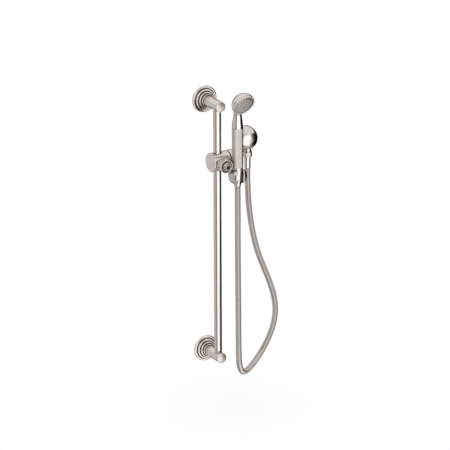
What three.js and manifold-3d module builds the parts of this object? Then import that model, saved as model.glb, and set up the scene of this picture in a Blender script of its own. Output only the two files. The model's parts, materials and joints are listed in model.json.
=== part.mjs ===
// Slide-bar hand shower kit: a wall bar between two flanged posts, a clamping slider
// with a tilting holder, the hand shower standing in it, its metal hose and the
// domed wall elbow that feeds the hose.
// Millimetres. The wall is the plane Y = 0, the room is on its -Y side and +Z is up.
// The origin is the middle of the upper wall bracket's back face.

import * as THREE from 'three';
import { mergeVertices } from 'three/addons/utils/BufferGeometryUtils.js';
import Module from 'manifold-3d';

const wasm = await Module();
wasm.setup();

// ---- Driving dimensions -------------------------------------------------------

const GAP = 0.3; // static gap between pieces that touch

const BAR = { radius: 9, wall: 1.6, spacing: 610, standoff: 57.5, seat: 5.7 };

const FLANGE = { radii: [31, 24.5, 19, 14.5], step: 4.5, wall: 1.6, edge: 1.1 };
const BRACKET = { radius: 22, thick: 4, spigotRadius: 6.5, spigotEnd: 26 };
const WALL_HOLE = { radius: 2.6, sinkRadius: 4.6, sinkDepth: 2, offset: 15 };
const POST = { radius: 12, faceOffset: 12.5, capLength: 4.7, capEdge: 1.4 };
const GRUB = { radius: 2, offset: 22, recess: 0.6 };
const BAR_SCREW = { radius: 2.3, headRadius: 4.5, headHeight: 2.2, depth: 5.5 };
const BAR_PLUG = { length: 24 };

const SLIDER = { height: -133, radius: 22, left: 18.4, right: 25, edge: 1.6 };
const BUSH = { wall: 1.9, halfLength: 19, slot: 2 };
const SWIVEL = {
  washer: 1.2, washerRadius: 17, bolt: 4, boltDepth: 10.7,
  headRadius: 7.5, headHeight: 2.4, springHeight: 1.2,
};
const HUB = { width: 13.2, edge: 0.9, floor: 7.2, capRadius: 13.4, capDepth: 1.7, capRise: 1.5 };
const KNOB = {
  back: 23.3, radius: 15.4, flutes: 12, fluteDepth: 1.7, fluteEnd: 39.6,
  beadRadius: 16, faceEnd: 41.6, bossRadius: 9.6, bossEnd: 50, edge: 1.4,
};
const STUD = { radius: 3, pitchTravel: 1 };
const PAD = { radius: 5.6, thick: 3.1 };
const KNOB_SCREW = {
  radius: 5.1, height: 3.5, edge: 0.8, socket: 2.3, socketDepth: 2.2, recess: 1.2,
};

const HANDSET = { right: 31, forward: 37, below: 8.3, turn: 4 };
const CUP = { radius: 21, drop: 28, rim: 14.3, foot: 18, slot: 15.6, fit: 0.4, neck: 6.4 };
const GRIP = { radius: 12.8, length: 94.3, ribs: 40, ribDepth: 0.35 };
const TUBE = { radius: 10.3, bore: 7.5, overlap: 5.5, spigotRadius: 9.2, spigotLength: 12 };
const NECK = { topRadius: 9.1, length: 31, lean: 0.8, bore: 6.3 };
const COLLAR = { radius: 9.9, height: 4.4 };
const HEAD = {
  radius: 27, depth: 22.5, wall: 2, clearance: 1.7, lap: 0.9, tilt: 29, rimBack: 4, stub: 7.6,
};
const SPRAY_RING = { front: 1, width: 4.2, notches: 20, notchDepth: 1 };
const SPRAY_PLATE = { crown: 1.3, thick: 3.4, holeRadius: 1.1, rings: [8, 16], border: 6.8 };
const NOZZLE = { radius: 0.7, mat: 2, proud: 0.8 };
const DIVERTER = { thick: 2.6, ports: 3, portRadius: 4, portOffset: 12 };
const FACE_SCREW = { radius: 1.6, headRadius: 3.1, headHeight: 1.4, length: 12 };
const HEAD_SEAL = { section: 0.9, clearance: 0.6, behindMat: 1.6 };

const HOSE = { radius: 7, sides: 8, stepLength: 30, lead: 10 };
const NUT = { topRadius: 12.4, footRadius: 8, length: 40, wall: 1.5 };
const WASHER = { inner: 5, thick: 1.4 };
const FERRULE = { flangeRadius: 8.8, flangeHeight: 2.4, bore: 4.4, crimp: 4, crimpRadius: 7.5 };
const VALVE = { length: 11, bore: 3 };

const ELBOW = { right: 105.5, height: -110.5, inlet: 11, inletBore: 8, inletLength: 23 };
const OUTLET = { radius: 9, bore: 5.6, offset: 14.5, length: 33 };
const DOME = { radius: 28.5, height: 30, wall: 1.8, roundness: 2.6 };
const GASKET = { thick: 1.2, width: 3 };
const SUPPLY_NUT = { radius: 10.8, height: 12.6, facets: 24, knurl: 0.35, sleeve: 26.5 };

// The hose hangs freely from the handset, turns back towards the wall and climbs to
// the elbow. Its two ends take their places from the fittings they meet.
const HOSE_ROUTE = [
  [30.6, -95.6, -210], [29.6, -97.4, -245], [28.4, -99.4, -285], [27.2, -101.4, -325],
  [26, -103.6, -367], [25, -105.8, -410], [24, -108, -455], [23, -110.4, -500],
  [21.8, -112.8, -545], [21.6, -114, -585], [26, -109.6, -618], [40, -97.6, -642],
  [63, -79, -653.5], [88, -61.5, -653], [113, -46.6, -644.5], [136, -35, -630.5],
  [156, -28, -608], [170, -25, -580], [176.4, -24, -545], [173, -23, -510],
  [162.5, -22, -473], [148, -21, -436], [133, -20, -397], [121, -19, -355],
  [112.6, -17.8, -310], [107.6, -16.4, -265], [105.9, -15.2, -222],
];

const ROUND = 24; // facets round a large piece
const SMALL = 12; // facets round a screw or a small hole
const SLIVER = 0.01; // overlap that joins two solids

// ---- Finishes -----------------------------------------------------------------

const FINISH = {
  nickel: { color: 0xb9aea6, roughness: 0.34, metalness: 0.95 },
  polished: { color: 0xc9c0b9, roughness: 0.2, metalness: 1 },
  brass: { color: 0xb59a5b, roughness: 0.45, metalness: 0.9 },
  steel: { color: 0x8f8f90, roughness: 0.4, metalness: 0.9 },
  acetal: { color: 0xe4e2dc, roughness: 0.55, metalness: 0 },
  rubber: { color: 0x3b3a3a, roughness: 0.8, metalness: 0 },
  face: { color: 0xb5aaa3, roughness: 0.35, metalness: 0.9 },
};

// ---- Solids -------------------------------------------------------------------

// Closed geometry to a solid: shared corners are merged and its faces point outwards.
function solid(geometry) {
  const bare = geometry.clone();
  bare.deleteAttribute('normal');
  bare.deleteAttribute('uv');
  const merged = mergeVertices(bare, 1e-4);
  const index = merged.getIndex().array;
  const kept = [];
  for (let i = 0; i < index.length; i += 3) {
    const [a, b, c] = [index[i], index[i + 1], index[i + 2]];
    if (a !== b && b !== c && c !== a) kept.push(a, b, c);
  }
  const points = new Float32Array(merged.getAttribute('position').array);
  if (signedVolume(points, kept) < 0) kept.reverse();
  return new wasm.Manifold(new wasm.Mesh({
    numProp: 3, vertProperties: points, triVerts: new Uint32Array(kept),
  }));
}

function signedVolume(points, index) {
  const corner = (k) => new THREE.Vector3().fromArray(points, 3 * index[k]);
  let sum = 0;
  for (let i = 0; i < index.length; i += 3) {
    sum += corner(i).dot(corner(i + 1).cross(corner(i + 2)));
  }
  return sum / 6;
}

function piece(name, shape, finish) {
  const { vertProperties, triVerts } = shape.getMesh();
  const geometry = new THREE.BufferGeometry();
  geometry.setAttribute('position', new THREE.BufferAttribute(vertProperties.slice(), 3));
  geometry.setIndex(new THREE.BufferAttribute(triVerts.slice(), 1));
  geometry.computeVertexNormals();
  const mesh = new THREE.Mesh(geometry, new THREE.MeshStandardMaterial(FINISH[finish]));
  mesh.name = name;
  return mesh;
}

// A turned piece about +Z. The profile lists [radius, height] pairs.
function turned(profile, segments = ROUND) {
  const points = profile.map(([radius, height]) => new THREE.Vector2(radius, height));
  const [first, last] = [points[0], points[points.length - 1]];
  if (first.x > 0 || last.x > 0) points.push(first.clone());
  return new THREE.LatheGeometry(points, segments).rotateX(Math.PI / 2);
}

const rod = (radius, from, to, segments) =>
  turned([[0, from], [radius, from], [radius, to], [0, to]], segments);

const tube = (inner, outer, from, to, segments) =>
  turned([[inner, from], [outer, from], [outer, to], [inner, to]], segments);

// +Z of a turned piece laid out of the wall (-Y) or to the right (+X).
const outward = (geometry) => geometry.rotateX(Math.PI / 2);
const sideways = (geometry) => geometry.rotateY(Math.PI / 2);

// An outline in the XY plane carried from one height to another.
function prism(outline, from, to) {
  const shape = new THREE.Shape(outline);
  return new THREE.ExtrudeGeometry(shape, { depth: to - from, bevelEnabled: false, steps: 1 })
    .translate(0, 0, from);
}

function block(width, depth, height, x, y, z) {
  return new THREE.BoxGeometry(width, depth, height).translate(x, y, z);
}

// A round outline with scoops: `depth` deep, one for each of `count` flutes.
function flutedOutline(radius, count, depth, pointsPerFlute) {
  const total = count * pointsPerFlute;
  return Array.from({ length: total }, (_, i) => {
    const angle = (i / total) * 2 * Math.PI;
    const scoop = (1 - Math.cos(count * angle)) / 2;
    const r = radius - depth * scoop;
    return new THREE.Vector2(r * Math.cos(angle), r * Math.sin(angle));
  });
}

// A quarter of a rounded outline from the rim (radius, 0) to the pole (0, height).
function quarter(radius, height, roundness, steps) {
  return Array.from({ length: steps + 1 }, (_, i) => {
    const angle = (i / steps) * (Math.PI / 2);
    const power = 2 / roundness;
    const r = i === steps ? 0 : radius * Math.cos(angle) ** power;
    return [r, height * Math.sin(angle) ** power];
  });
}

function group(position, ...children) {
  const result = new THREE.Group();
  result.position.set(...position);
  result.add(...children);
  return result;
}

// ---- Wall mounts --------------------------------------------------------------

const postFace = BAR.standoff + POST.faceOffset;
const barBore = BAR.radius + GAP;
const barInner = BAR.radius - BAR.wall;

// The plate that is screwed to the wall, with the spigot that carries the post.
function wallBracket() {
  const plate = turned([
    [0, 0], [BRACKET.radius, 0], [BRACKET.radius, BRACKET.thick],
    [BRACKET.spigotRadius, BRACKET.thick], [BRACKET.spigotRadius, BRACKET.spigotEnd],
    [0, BRACKET.spigotEnd],
  ]);
  let shape = solid(outward(plate));
  for (const side of [-1, 1]) {
    const sinkFrom = BRACKET.thick - WALL_HOLE.sinkDepth;
    const hole = turned([
      [0, -1], [WALL_HOLE.radius, -1], [WALL_HOLE.radius, sinkFrom],
      [WALL_HOLE.sinkRadius, BRACKET.thick + SLIVER], [WALL_HOLE.sinkRadius, BRACKET.thick + 1],
      [0, BRACKET.thick + 1],
    ], SMALL);
    shape = shape.subtract(solid(outward(hole).translate(side * WALL_HOLE.offset, 0, 0)));
  }
  return shape;
}

// The stepped cover flange: a thin turned shell over the bracket, bored for the post.
function wallFlange() {
  const { radii, step, wall, edge } = FLANGE;
  const outer = [];
  const inner = [];
  radii.forEach((radius, i) => {
    const front = (i + 1) * step;
    outer.push([radius, i * step], [radius, front - edge], [radius - edge, front]);
  });
  const boreRadius = POST.radius + GAP;
  const hubFront = radii.length * step;
  outer.push([boreRadius, hubFront]);
  const lastInner = radii.length - 1;
  inner.push([boreRadius, lastInner * step - wall]);
  for (let i = lastInner - 1; i >= 0; i -= 1) {
    inner.push([radii[i] - wall, (i + 1) * step - wall]);
    inner.push([radii[i] - wall, Math.max(i * step - wall, 0)]);
  }
  return solid(outward(turned([...outer, ...inner])));
}

// The post: a thick round arm, bored for the spigot, the bar and its screws.
function post(barSide) {
  const back = BRACKET.thick + GAP;
  const body = rod(POST.radius, back, postFace);
  const spigotBore = rod(BRACKET.spigotRadius + GAP, 0, BRACKET.spigotEnd + GAP);
  const barEnd = -barSide * (BAR.seat + GAP);
  const barWay = rod(barBore, 0, 2 * POST.radius);
  if (barSide < 0) barWay.rotateX(Math.PI);
  barWay.translate(0, -BAR.standoff, barEnd);
  const screwWay = rod(BAR_SCREW.radius + GAP, BAR.standoff, postFace + 1, SMALL);
  const grubWay = rod(GRUB.radius + GAP, -POST.radius - 1, 0, SMALL)
    .translate(0, -GRUB.offset, 0);
  return solid(outward(body))
    .subtract(solid(outward(spigotBore)))
    .subtract(solid(barWay))
    .subtract(solid(outward(screwWay)))
    .subtract(solid(grubWay));
}

// The round cap that hides the bar screw, hollow for the screw's head.
function postCap() {
  const back = postFace + GAP;
  const front = back + POST.capLength;
  const pocket = BAR_SCREW.headRadius + GAP;
  const pocketEnd = back + BAR_SCREW.headHeight + GAP;
  return solid(outward(turned([
    [0, pocketEnd], [pocket, pocketEnd], [pocket, back], [POST.radius, back],
    [POST.radius, front - POST.capEdge], [POST.radius - POST.capEdge, front], [0, front],
  ])));
}

function barScrew() {
  const head = postFace + GAP;
  return solid(outward(turned([
    [0, BAR.standoff - BAR_SCREW.depth], [BAR_SCREW.radius, BAR.standoff - BAR_SCREW.depth],
    [BAR_SCREW.radius, head], [BAR_SCREW.headRadius, head],
    [BAR_SCREW.headRadius, head + BAR_SCREW.headHeight], [0, head + BAR_SCREW.headHeight],
  ], SMALL)));
}

const grubScrew = () => solid(rod(
  GRUB.radius, GRUB.recess - POST.radius, -BRACKET.spigotRadius - GAP, SMALL,
).translate(0, -GRUB.offset, 0));

// The solid insert in the bar's end that the bar screw threads into.
function barPlug(barSide) {
  const start = -barSide * BAR.seat;
  const far = start + barSide * BAR_PLUG.length;
  const plug = rod(barInner - GAP, Math.min(start, far), Math.max(start, far));
  const hole = rod(
    BAR_SCREW.radius + GAP, BAR.standoff - BAR_SCREW.depth - GAP, postFace, SMALL,
  );
  return solid(plug.translate(0, -BAR.standoff, 0)).subtract(solid(outward(hole)));
}

function wallMount(name, height, barSide) {
  return group(
    [0, 0, height],
    piece(`${name}_wall_bracket`, wallBracket(), 'steel'),
    piece(`${name}_flange`, wallFlange(), 'nickel'),
    piece(`${name}_post`, post(barSide), 'nickel'),
    piece(`${name}_post_cap`, postCap(), 'nickel'),
    piece(`${name}_bar_screw`, barScrew(), 'steel'),
    piece(`${name}_grub_screw`, grubScrew(), 'steel'),
    piece(`${name}_bar_plug`, barPlug(barSide), 'brass'),
  );
}

// The slide bar: a tube seated in both posts, cross-drilled for the bar screws.
function slideBar() {
  const top = BAR.seat;
  const bottom = -BAR.spacing - BAR.seat;
  let shape = solid(tube(barInner, BAR.radius, bottom, top).translate(0, -BAR.standoff, 0));
  for (const height of [0, -BAR.spacing]) {
    const hole = rod(BAR_SCREW.radius + GAP, BAR.standoff, postFace, SMALL);
    shape = shape.subtract(solid(outward(hole).translate(0, 0, height)));
  }
  return piece('slide_bar', shape, 'nickel');
}

// ---- Slider -------------------------------------------------------------------

const bushInner = BAR.radius + GAP;
const bushOuter = bushInner + BUSH.wall;
const padBack = bushOuter + GAP;
const studTip = padBack + PAD.thick + GAP;
const hubLeft = SLIDER.right + SWIVEL.washer + 2 * GAP;
const hubRight = hubLeft + HUB.width;
const hubFloor = hubLeft + HUB.floor;
const boltTip = SLIDER.right - SWIVEL.boltDepth;
const boltBore = SWIVEL.bolt + GAP;
const knobSeat = KNOB.bossEnd - KNOB_SCREW.recess - KNOB_SCREW.height;

// The plastic sleeve that slides on the bar, split down its back.
function slideBush() {
  const slot = block(BUSH.slot, bushOuter, 3 * BUSH.halfLength, 0, bushOuter, 0);
  return solid(tube(bushInner, bushOuter, -BUSH.halfLength, BUSH.halfLength))
    .subtract(solid(slot));
}

// The slider's barrel, bored for the bush, the clamp pad and stud, and the swivel bolt.
function sliderBody() {
  const { radius, left, right, edge } = SLIDER;
  const body = turned([
    [0, -left], [radius - edge, -left], [radius, -left + edge], [radius, right], [0, right],
  ]);
  const chamber = PAD.thick + padBack + STUD.pitchTravel + GAP;
  const clampWay = turned([
    [0, 0], [PAD.radius + GAP, 0], [PAD.radius + GAP, chamber],
    [STUD.radius + GAP, chamber], [STUD.radius + GAP, radius + 1], [0, radius + 1],
  ], SMALL);
  return solid(sideways(body))
    .subtract(solid(rod(bushOuter + GAP, -radius - 1, radius + 1)))
    .subtract(solid(outward(clampWay)))
    .subtract(solid(sideways(rod(boltBore, boltTip - GAP, right + 1, SMALL))));
}

// The handset holder: a hub that turns on the bolt, joined to a slotted ball cup.
function holder() {
  const { edge } = HUB;
  const hub = turned([
    [boltBore, hubLeft], [SLIDER.radius - edge, hubLeft], [SLIDER.radius, hubLeft + edge],
    [SLIDER.radius, hubRight - edge], [SLIDER.radius - edge, hubRight],
    [HUB.capRadius + GAP, hubRight], [HUB.capRadius + GAP, hubRight - HUB.capDepth],
    [SWIVEL.headRadius + GAP, hubRight - HUB.capDepth], [SWIVEL.headRadius + GAP, hubFloor],
    [boltBore, hubFloor],
  ]);
  const reach = Math.hypot(HANDSET.forward, CUP.drop);
  const dropAngle = Math.atan2(CUP.drop, HANDSET.forward);
  const neck = outward(rod(CUP.neck, SLIDER.radius - 5, reach - CUP.radius + 5))
    .rotateX(dropAngle)
    .translate((hubLeft + hubRight) / 2, 0, 0);
  const place = [HANDSET.right, -HANDSET.forward, -CUP.drop];
  const ball = new THREE.SphereGeometry(CUP.radius, ROUND, SMALL).rotateX(Math.PI / 2);
  const wide = 3 * CUP.radius;
  const above = block(wide, wide, wide, 0, 0, CUP.rim + wide / 2);
  const below = block(wide, wide, wide, 0, 0, -CUP.foot - wide / 2);
  const taper = rodTaper(NUT.topRadius + CUP.fit, NUT.footRadius + CUP.fit, NUT.length);
  taper.translate(0, 0, CUP.drop - HANDSET.below - GAP - SLIVER);
  const slot = block(CUP.slot, wide, wide, 0, -wide / 2, 0);
  const cup = solid(ball).subtract(solid(above)).subtract(solid(below));
  const bored = [taper, slot].map((cut) => solid(cut.translate(...place)));
  return solid(sideways(hub))
    .add(solid(neck))
    .add(cup.translate(place))
    .subtract(bored[0])
    .subtract(bored[1]);
}

// A taper hanging from height 0 down to -length, carried a little past both ends.
function rodTaper(topRadius, footRadius, length) {
  const slope = (topRadius - footRadius) / length;
  return turned([
    [0, -length - 5], [footRadius - 5 * slope, -length - 5],
    [topRadius + 5 * slope, 5], [0, 5],
  ]);
}

function hubCap() {
  const back = hubRight - HUB.capDepth + GAP;
  const front = hubRight + HUB.capRise;
  return solid(sideways(turned([
    [0, back], [HUB.capRadius, back], [HUB.capRadius, hubRight],
    [HUB.capRadius - HUB.capRise, front], [0, front],
  ])));
}

function swivelBolt() {
  const headFrom = hubFloor + SWIVEL.springHeight + 2 * GAP;
  return solid(sideways(turned([
    [0, boltTip], [SWIVEL.bolt, boltTip], [SWIVEL.bolt, headFrom],
    [SWIVEL.headRadius, headFrom], [SWIVEL.headRadius, headFrom + SWIVEL.headHeight],
    [0, headFrom + SWIVEL.headHeight],
  ], SMALL)));
}

const swivelWasher = () => solid(sideways(tube(
  boltBore, SWIVEL.washerRadius, SLIDER.right + GAP, SLIDER.right + GAP + SWIVEL.washer,
)));

const springWasher = () => solid(sideways(tube(
  boltBore, SWIVEL.headRadius, hubFloor + GAP, hubFloor + GAP + SWIVEL.springHeight, SMALL,
)));

// The clamp knob: a scooped grip, a bead round its face and a boss with a screw in it.
function clampKnob() {
  const grip = prism(
    flutedOutline(KNOB.radius, KNOB.flutes, KNOB.fluteDepth, 4), KNOB.back, KNOB.fluteEnd,
  );
  const front = turned([
    [0, KNOB.fluteEnd - SLIVER], [KNOB.beadRadius, KNOB.fluteEnd - SLIVER],
    [KNOB.beadRadius, KNOB.faceEnd], [KNOB.bossRadius, KNOB.faceEnd],
    [KNOB.bossRadius, KNOB.bossEnd - KNOB.edge], [KNOB.bossRadius - KNOB.edge, KNOB.bossEnd],
    [0, KNOB.bossEnd],
  ]);
  const seat = knobSeat - GAP;
  const bores = turned([
    [0, KNOB.back - 1], [STUD.radius + GAP, KNOB.back - 1], [STUD.radius + GAP, seat],
    [KNOB_SCREW.radius + GAP, seat], [KNOB_SCREW.radius + GAP, KNOB.bossEnd + 1],
    [0, KNOB.bossEnd + 1],
  ], SMALL);
  return solid(outward(grip)).add(solid(outward(front))).subtract(solid(outward(bores)));
}

const knobStud = () => solid(outward(rod(STUD.radius, studTip, knobSeat - GAP, SMALL)));

// The socket screw that ties the knob to its stud.
function knobScrew() {
  const top = knobSeat + KNOB_SCREW.height;
  const head = turned([
    [0, knobSeat], [KNOB_SCREW.radius, knobSeat], [KNOB_SCREW.radius, top - KNOB_SCREW.edge],
    [KNOB_SCREW.radius - KNOB_SCREW.edge, top], [0, top],
  ], SMALL);
  const socket = rod(KNOB_SCREW.socket, top - KNOB_SCREW.socketDepth, top + 1, 6);
  return solid(outward(head)).subtract(solid(outward(socket)));
}

const clampPad = () => solid(outward(rod(PAD.radius, padBack, padBack + PAD.thick, SMALL)));

function slider() {
  return group(
    [0, -BAR.standoff, SLIDER.height],
    piece('slide_bush', slideBush(), 'acetal'),
    piece('slider_body', sliderBody(), 'nickel'),
    piece('swivel_washer', swivelWasher(), 'acetal'),
    piece('swivel_bolt', swivelBolt(), 'steel'),
    piece('swivel_spring_washer', springWasher(), 'steel'),
    piece('handset_holder', holder(), 'nickel'),
    piece('holder_cap', hubCap(), 'nickel'),
    piece('clamp_knob', clampKnob(), 'nickel'),
    piece('knob_stud', knobStud(), 'steel'),
    piece('knob_screw', knobScrew(), 'steel'),
    piece('clamp_pad', clampPad(), 'acetal'),
  );
}

// ---- Hand shower --------------------------------------------------------------

const neckFoot = GRIP.length + GAP;
const neckTop = neckFoot + NECK.length;
const tubeTop = GRIP.length + TUBE.overlap;
const collarTop = neckTop + GAP + COLLAR.height;
const headTilt = THREE.MathUtils.degToRad(HEAD.tilt);
const faceHeight = collarTop - HEAD.lap + HEAD.radius * Math.cos(headTilt);
const faceForward = NECK.lean + COLLAR.radius + HEAD.clearance
  + HEAD.radius * Math.sin(headTilt);
const connectorBore = TUBE.spigotRadius + GAP;
const washerTop = -TUBE.spigotLength - GAP;
const ferruleTop = washerTop - WASHER.thick - GAP;
const flangeFoot = ferruleTop - FERRULE.flangeHeight;
const nutFoot = -GAP - NUT.length;
const stemRadius = NUT.footRadius - NUT.wall - GAP;
const crimpTop = nutFoot - GAP;
const hoseTop = crimpTop - FERRULE.crimp - GAP;

// The grip sleeve, ribbed lengthwise all round.
function gripSleeve() {
  const outline = flutedOutline(GRIP.radius, GRIP.ribs, GRIP.ribDepth, 2);
  return solid(prism(outline, 0, GRIP.length))
    .subtract(solid(rod(TUBE.radius + GAP, -1, GRIP.length + 1)));
}

// The brass water way inside the grip, with the threaded spigot for the hose nut.
function waterTube() {
  return solid(turned([
    [TUBE.bore, tubeTop], [TUBE.radius, tubeTop], [TUBE.radius, GAP],
    [TUBE.spigotRadius, GAP], [TUBE.spigotRadius, -TUBE.spigotLength],
    [WASHER.inner, -TUBE.spigotLength], [WASHER.inner, 0], [TUBE.bore, 0],
  ]));
}

// How far the neck's middle has moved forward at a height on the handset.
function leanAt(height) {
  const from = tubeTop + GAP;
  const t = THREE.MathUtils.clamp((height - from) / (neckTop - from), 0, 1);
  return NECK.lean * t * t * (3 - 2 * t) * 0.5 + NECK.lean * t * t * 0.5;
}

// The smooth cone between the grip and the head, bending forward as it rises.
function neck() {
  const socket = TUBE.radius + GAP;
  const outer = Array.from({ length: 6 }, (_, i) => {
    const t = i / 5;
    const radius = THREE.MathUtils.lerp(GRIP.radius, NECK.topRadius, t ** 1.15);
    return [radius, THREE.MathUtils.lerp(neckFoot, neckTop, t)];
  });
  const profile = [
    ...outer, [NECK.bore, neckTop], [NECK.bore, tubeTop + GAP], [socket, tubeTop + GAP],
    [socket, neckFoot],
  ];
  const geometry = turned(profile);
  const position = geometry.getAttribute('position');
  for (let i = 0; i < position.count; i += 1) {
    position.setY(i, position.getY(i) - leanAt(position.getZ(i)));
  }
  return solid(geometry);
}

function neckCollar() {
  const from = neckTop + GAP;
  const inner = HEAD.stub + GAP;
  const half = COLLAR.height / 2;
  const bead = Array.from({ length: 5 }, (_, i) => {
    const angle = -Math.PI / 2 + (i / 4) * Math.PI;
    return [COLLAR.radius - 1.6 + 1.6 * Math.cos(angle), from + half + half * Math.sin(angle)];
  });
  return solid(turned([[inner, from], ...bead, [inner, collarTop]])
    .translate(0, -NECK.lean, 0));
}

// Turns a piece made about the face's axis into the handset's own frame.
function onHead(geometry) {
  return geometry
    .rotateX(Math.PI / 2 + headTilt)
    .translate(0, -faceForward, faceHeight);
}

// The domed head shell with the stub that stands on the neck, open at its face.
function headShell() {
  const { radius, depth, wall, rimBack, stub } = HEAD;
  const dome = (r, d) => quarter(r, -d, 2, 7).map(([x, s]) => [x, s - rimBack]);
  const outside = solid(onHead(turned([[0, -rimBack], ...dome(radius, depth)])));
  const cavity = solid(onHead(turned([
    [0, 0], [radius - wall, 0], ...dome(radius - wall, depth - wall),
  ])));
  const behindFace = solid(onHead(rod(2 * radius, -2 * radius, -rimBack)));
  const onNeck = (r, from) => solid(rod(r, from, faceHeight).translate(0, -NECK.lean, 0));
  return outside
    .add(onNeck(stub, neckTop + GAP).intersect(behindFace))
    .subtract(cavity)
    .subtract(onNeck(NECK.bore - 1, neckTop));
}

const ringBack = -HEAD.rimBack + 2 * GAP;
const ringInner = HEAD.radius - SPRAY_RING.width;
const plateRadius = ringInner - GAP;
const plateBack = SPRAY_RING.front - SPRAY_PLATE.thick;

// The turning spray ring, notched round its edge for wet fingers.
function sprayRing() {
  const { front, notches, notchDepth } = SPRAY_RING;
  const outline = flutedOutline(HEAD.radius, notches, notchDepth, 4);
  return solid(prism(outline, ringBack, front))
    .subtract(solid(rod(ringInner, ringBack - 1, front + 1)));
}

// The places of the spray holes: rings round the middle of the face.
function sprayHoles() {
  const pitch = (plateRadius - SPRAY_PLATE.border) / SPRAY_PLATE.rings.length;
  return SPRAY_PLATE.rings.flatMap((count, ring) => Array.from({ length: count }, (_, i) => {
    const angle = ((i + 0.5 * (ring % 2)) / count) * 2 * Math.PI;
    const reach = (ring + 1) * pitch;
    return [reach * Math.cos(angle), reach * Math.sin(angle)];
  }));
}

function sprayPlate() {
  const { front } = SPRAY_RING;
  const screwSeat = front - 0.4;
  let shape = solid(turned([
    [FACE_SCREW.radius + GAP, plateBack], [plateRadius, plateBack], [plateRadius, front - 0.5],
    [plateRadius - 1, front], [plateRadius * 0.5, front + SPRAY_PLATE.crown * 0.8],
    [FACE_SCREW.headRadius + GAP, front + SPRAY_PLATE.crown],
    [FACE_SCREW.headRadius + GAP, screwSeat], [FACE_SCREW.radius + GAP, screwSeat],
  ]));
  for (const [x, y] of sprayHoles()) {
    const hole = rod(SPRAY_PLATE.holeRadius, plateBack - 1, front + 5, 6).translate(x, y, 0);
    shape = shape.subtract(solid(hole));
  }
  return shape;
}

const matFront = plateBack - GAP;
const matBack = matFront - NOZZLE.mat;
const diverterFront = matBack - GAP;

// The soft mat behind the plate, with one nozzle standing through each hole.
function nozzleMat() {
  let shape = solid(tube(
    FACE_SCREW.radius + GAP, plateRadius - 1.5, matBack, matFront,
  ));
  const tip = SPRAY_RING.front + SPRAY_PLATE.crown + NOZZLE.proud;
  for (const [x, y] of sprayHoles()) {
    shape = shape.add(solid(rod(NOZZLE.radius, matBack + 0.5, tip, 6).translate(x, y, 0)));
  }
  return shape;
}

// The fixed disc that feeds one ring of nozzles or another as the face turns.
function diverterDisc() {
  let shape = solid(rod(plateRadius - 2, diverterFront - DIVERTER.thick, diverterFront));
  shape = shape.subtract(solid(rod(
    FACE_SCREW.radius + GAP, diverterFront - DIVERTER.thick - 1, diverterFront + 1, SMALL,
  )));
  for (let i = 0; i < DIVERTER.ports; i += 1) {
    const angle = (i / DIVERTER.ports) * 2 * Math.PI;
    const port = rod(
      DIVERTER.portRadius, diverterFront - DIVERTER.thick - 1, diverterFront + 1, SMALL,
    );
    port.translate(DIVERTER.portOffset * Math.cos(angle), DIVERTER.portOffset * Math.sin(angle), 0);
    shape = shape.subtract(solid(port));
  }
  return shape;
}

function faceScrew() {
  const seat = SPRAY_RING.front - 0.4 + GAP;
  return solid(turned([
    [0, seat - FACE_SCREW.length], [FACE_SCREW.radius, seat - FACE_SCREW.length],
    [FACE_SCREW.radius, seat], [FACE_SCREW.headRadius, seat],
    [FACE_SCREW.headRadius, seat + FACE_SCREW.headHeight * 0.6],
    [FACE_SCREW.headRadius - 0.9, seat + FACE_SCREW.headHeight],
    [0, seat + FACE_SCREW.headHeight],
  ], SMALL));
}

// The ring seal in the shell's mouth, behind the nozzle mat's edge.
function headSeal() {
  const middle = matBack - HEAD_SEAL.behindMat;
  const radius = HEAD.radius - HEAD.wall - HEAD_SEAL.section - HEAD_SEAL.clearance;
  const section = Array.from({ length: 6 }, (_, i) => {
    const angle = (i / 6) * 2 * Math.PI;
    return [
      radius + HEAD_SEAL.section * Math.cos(angle),
      middle + HEAD_SEAL.section * Math.sin(angle),
    ];
  });
  return solid(turned(section));
}

// The tapered hose nut that screws on the handset and sits in the holder's cup.
function handsetHoseNut() {
  return solid(turned([
    [NUT.topRadius, -GAP], [NUT.footRadius, nutFoot], [stemRadius + GAP, nutFoot],
    [stemRadius + GAP, flangeFoot - GAP], [connectorBore, flangeFoot - GAP],
    [connectorBore, -GAP],
  ]));
}

// A hose end: flange, stem through the nut and the crimp that grips the hose.
function ferrule(top, crimpFrom, crimpTo, crimpRadius) {
  const foot = top - FERRULE.flangeHeight;
  return solid(turned([
    [FERRULE.bore, top], [FERRULE.flangeRadius, top], [FERRULE.flangeRadius, foot],
    [stemRadius, foot], [stemRadius, crimpFrom], [crimpRadius, crimpFrom],
    [crimpRadius, crimpTo], [FERRULE.bore, crimpTo],
  ]));
}

const hoseWasher = (top) => solid(tube(
  WASHER.inner, connectorBore - GAP, top - WASHER.thick, top,
));

const checkValve = (radius, from) => solid(tube(
  VALVE.bore, radius - GAP, from, from + VALVE.length, SMALL,
));

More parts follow.
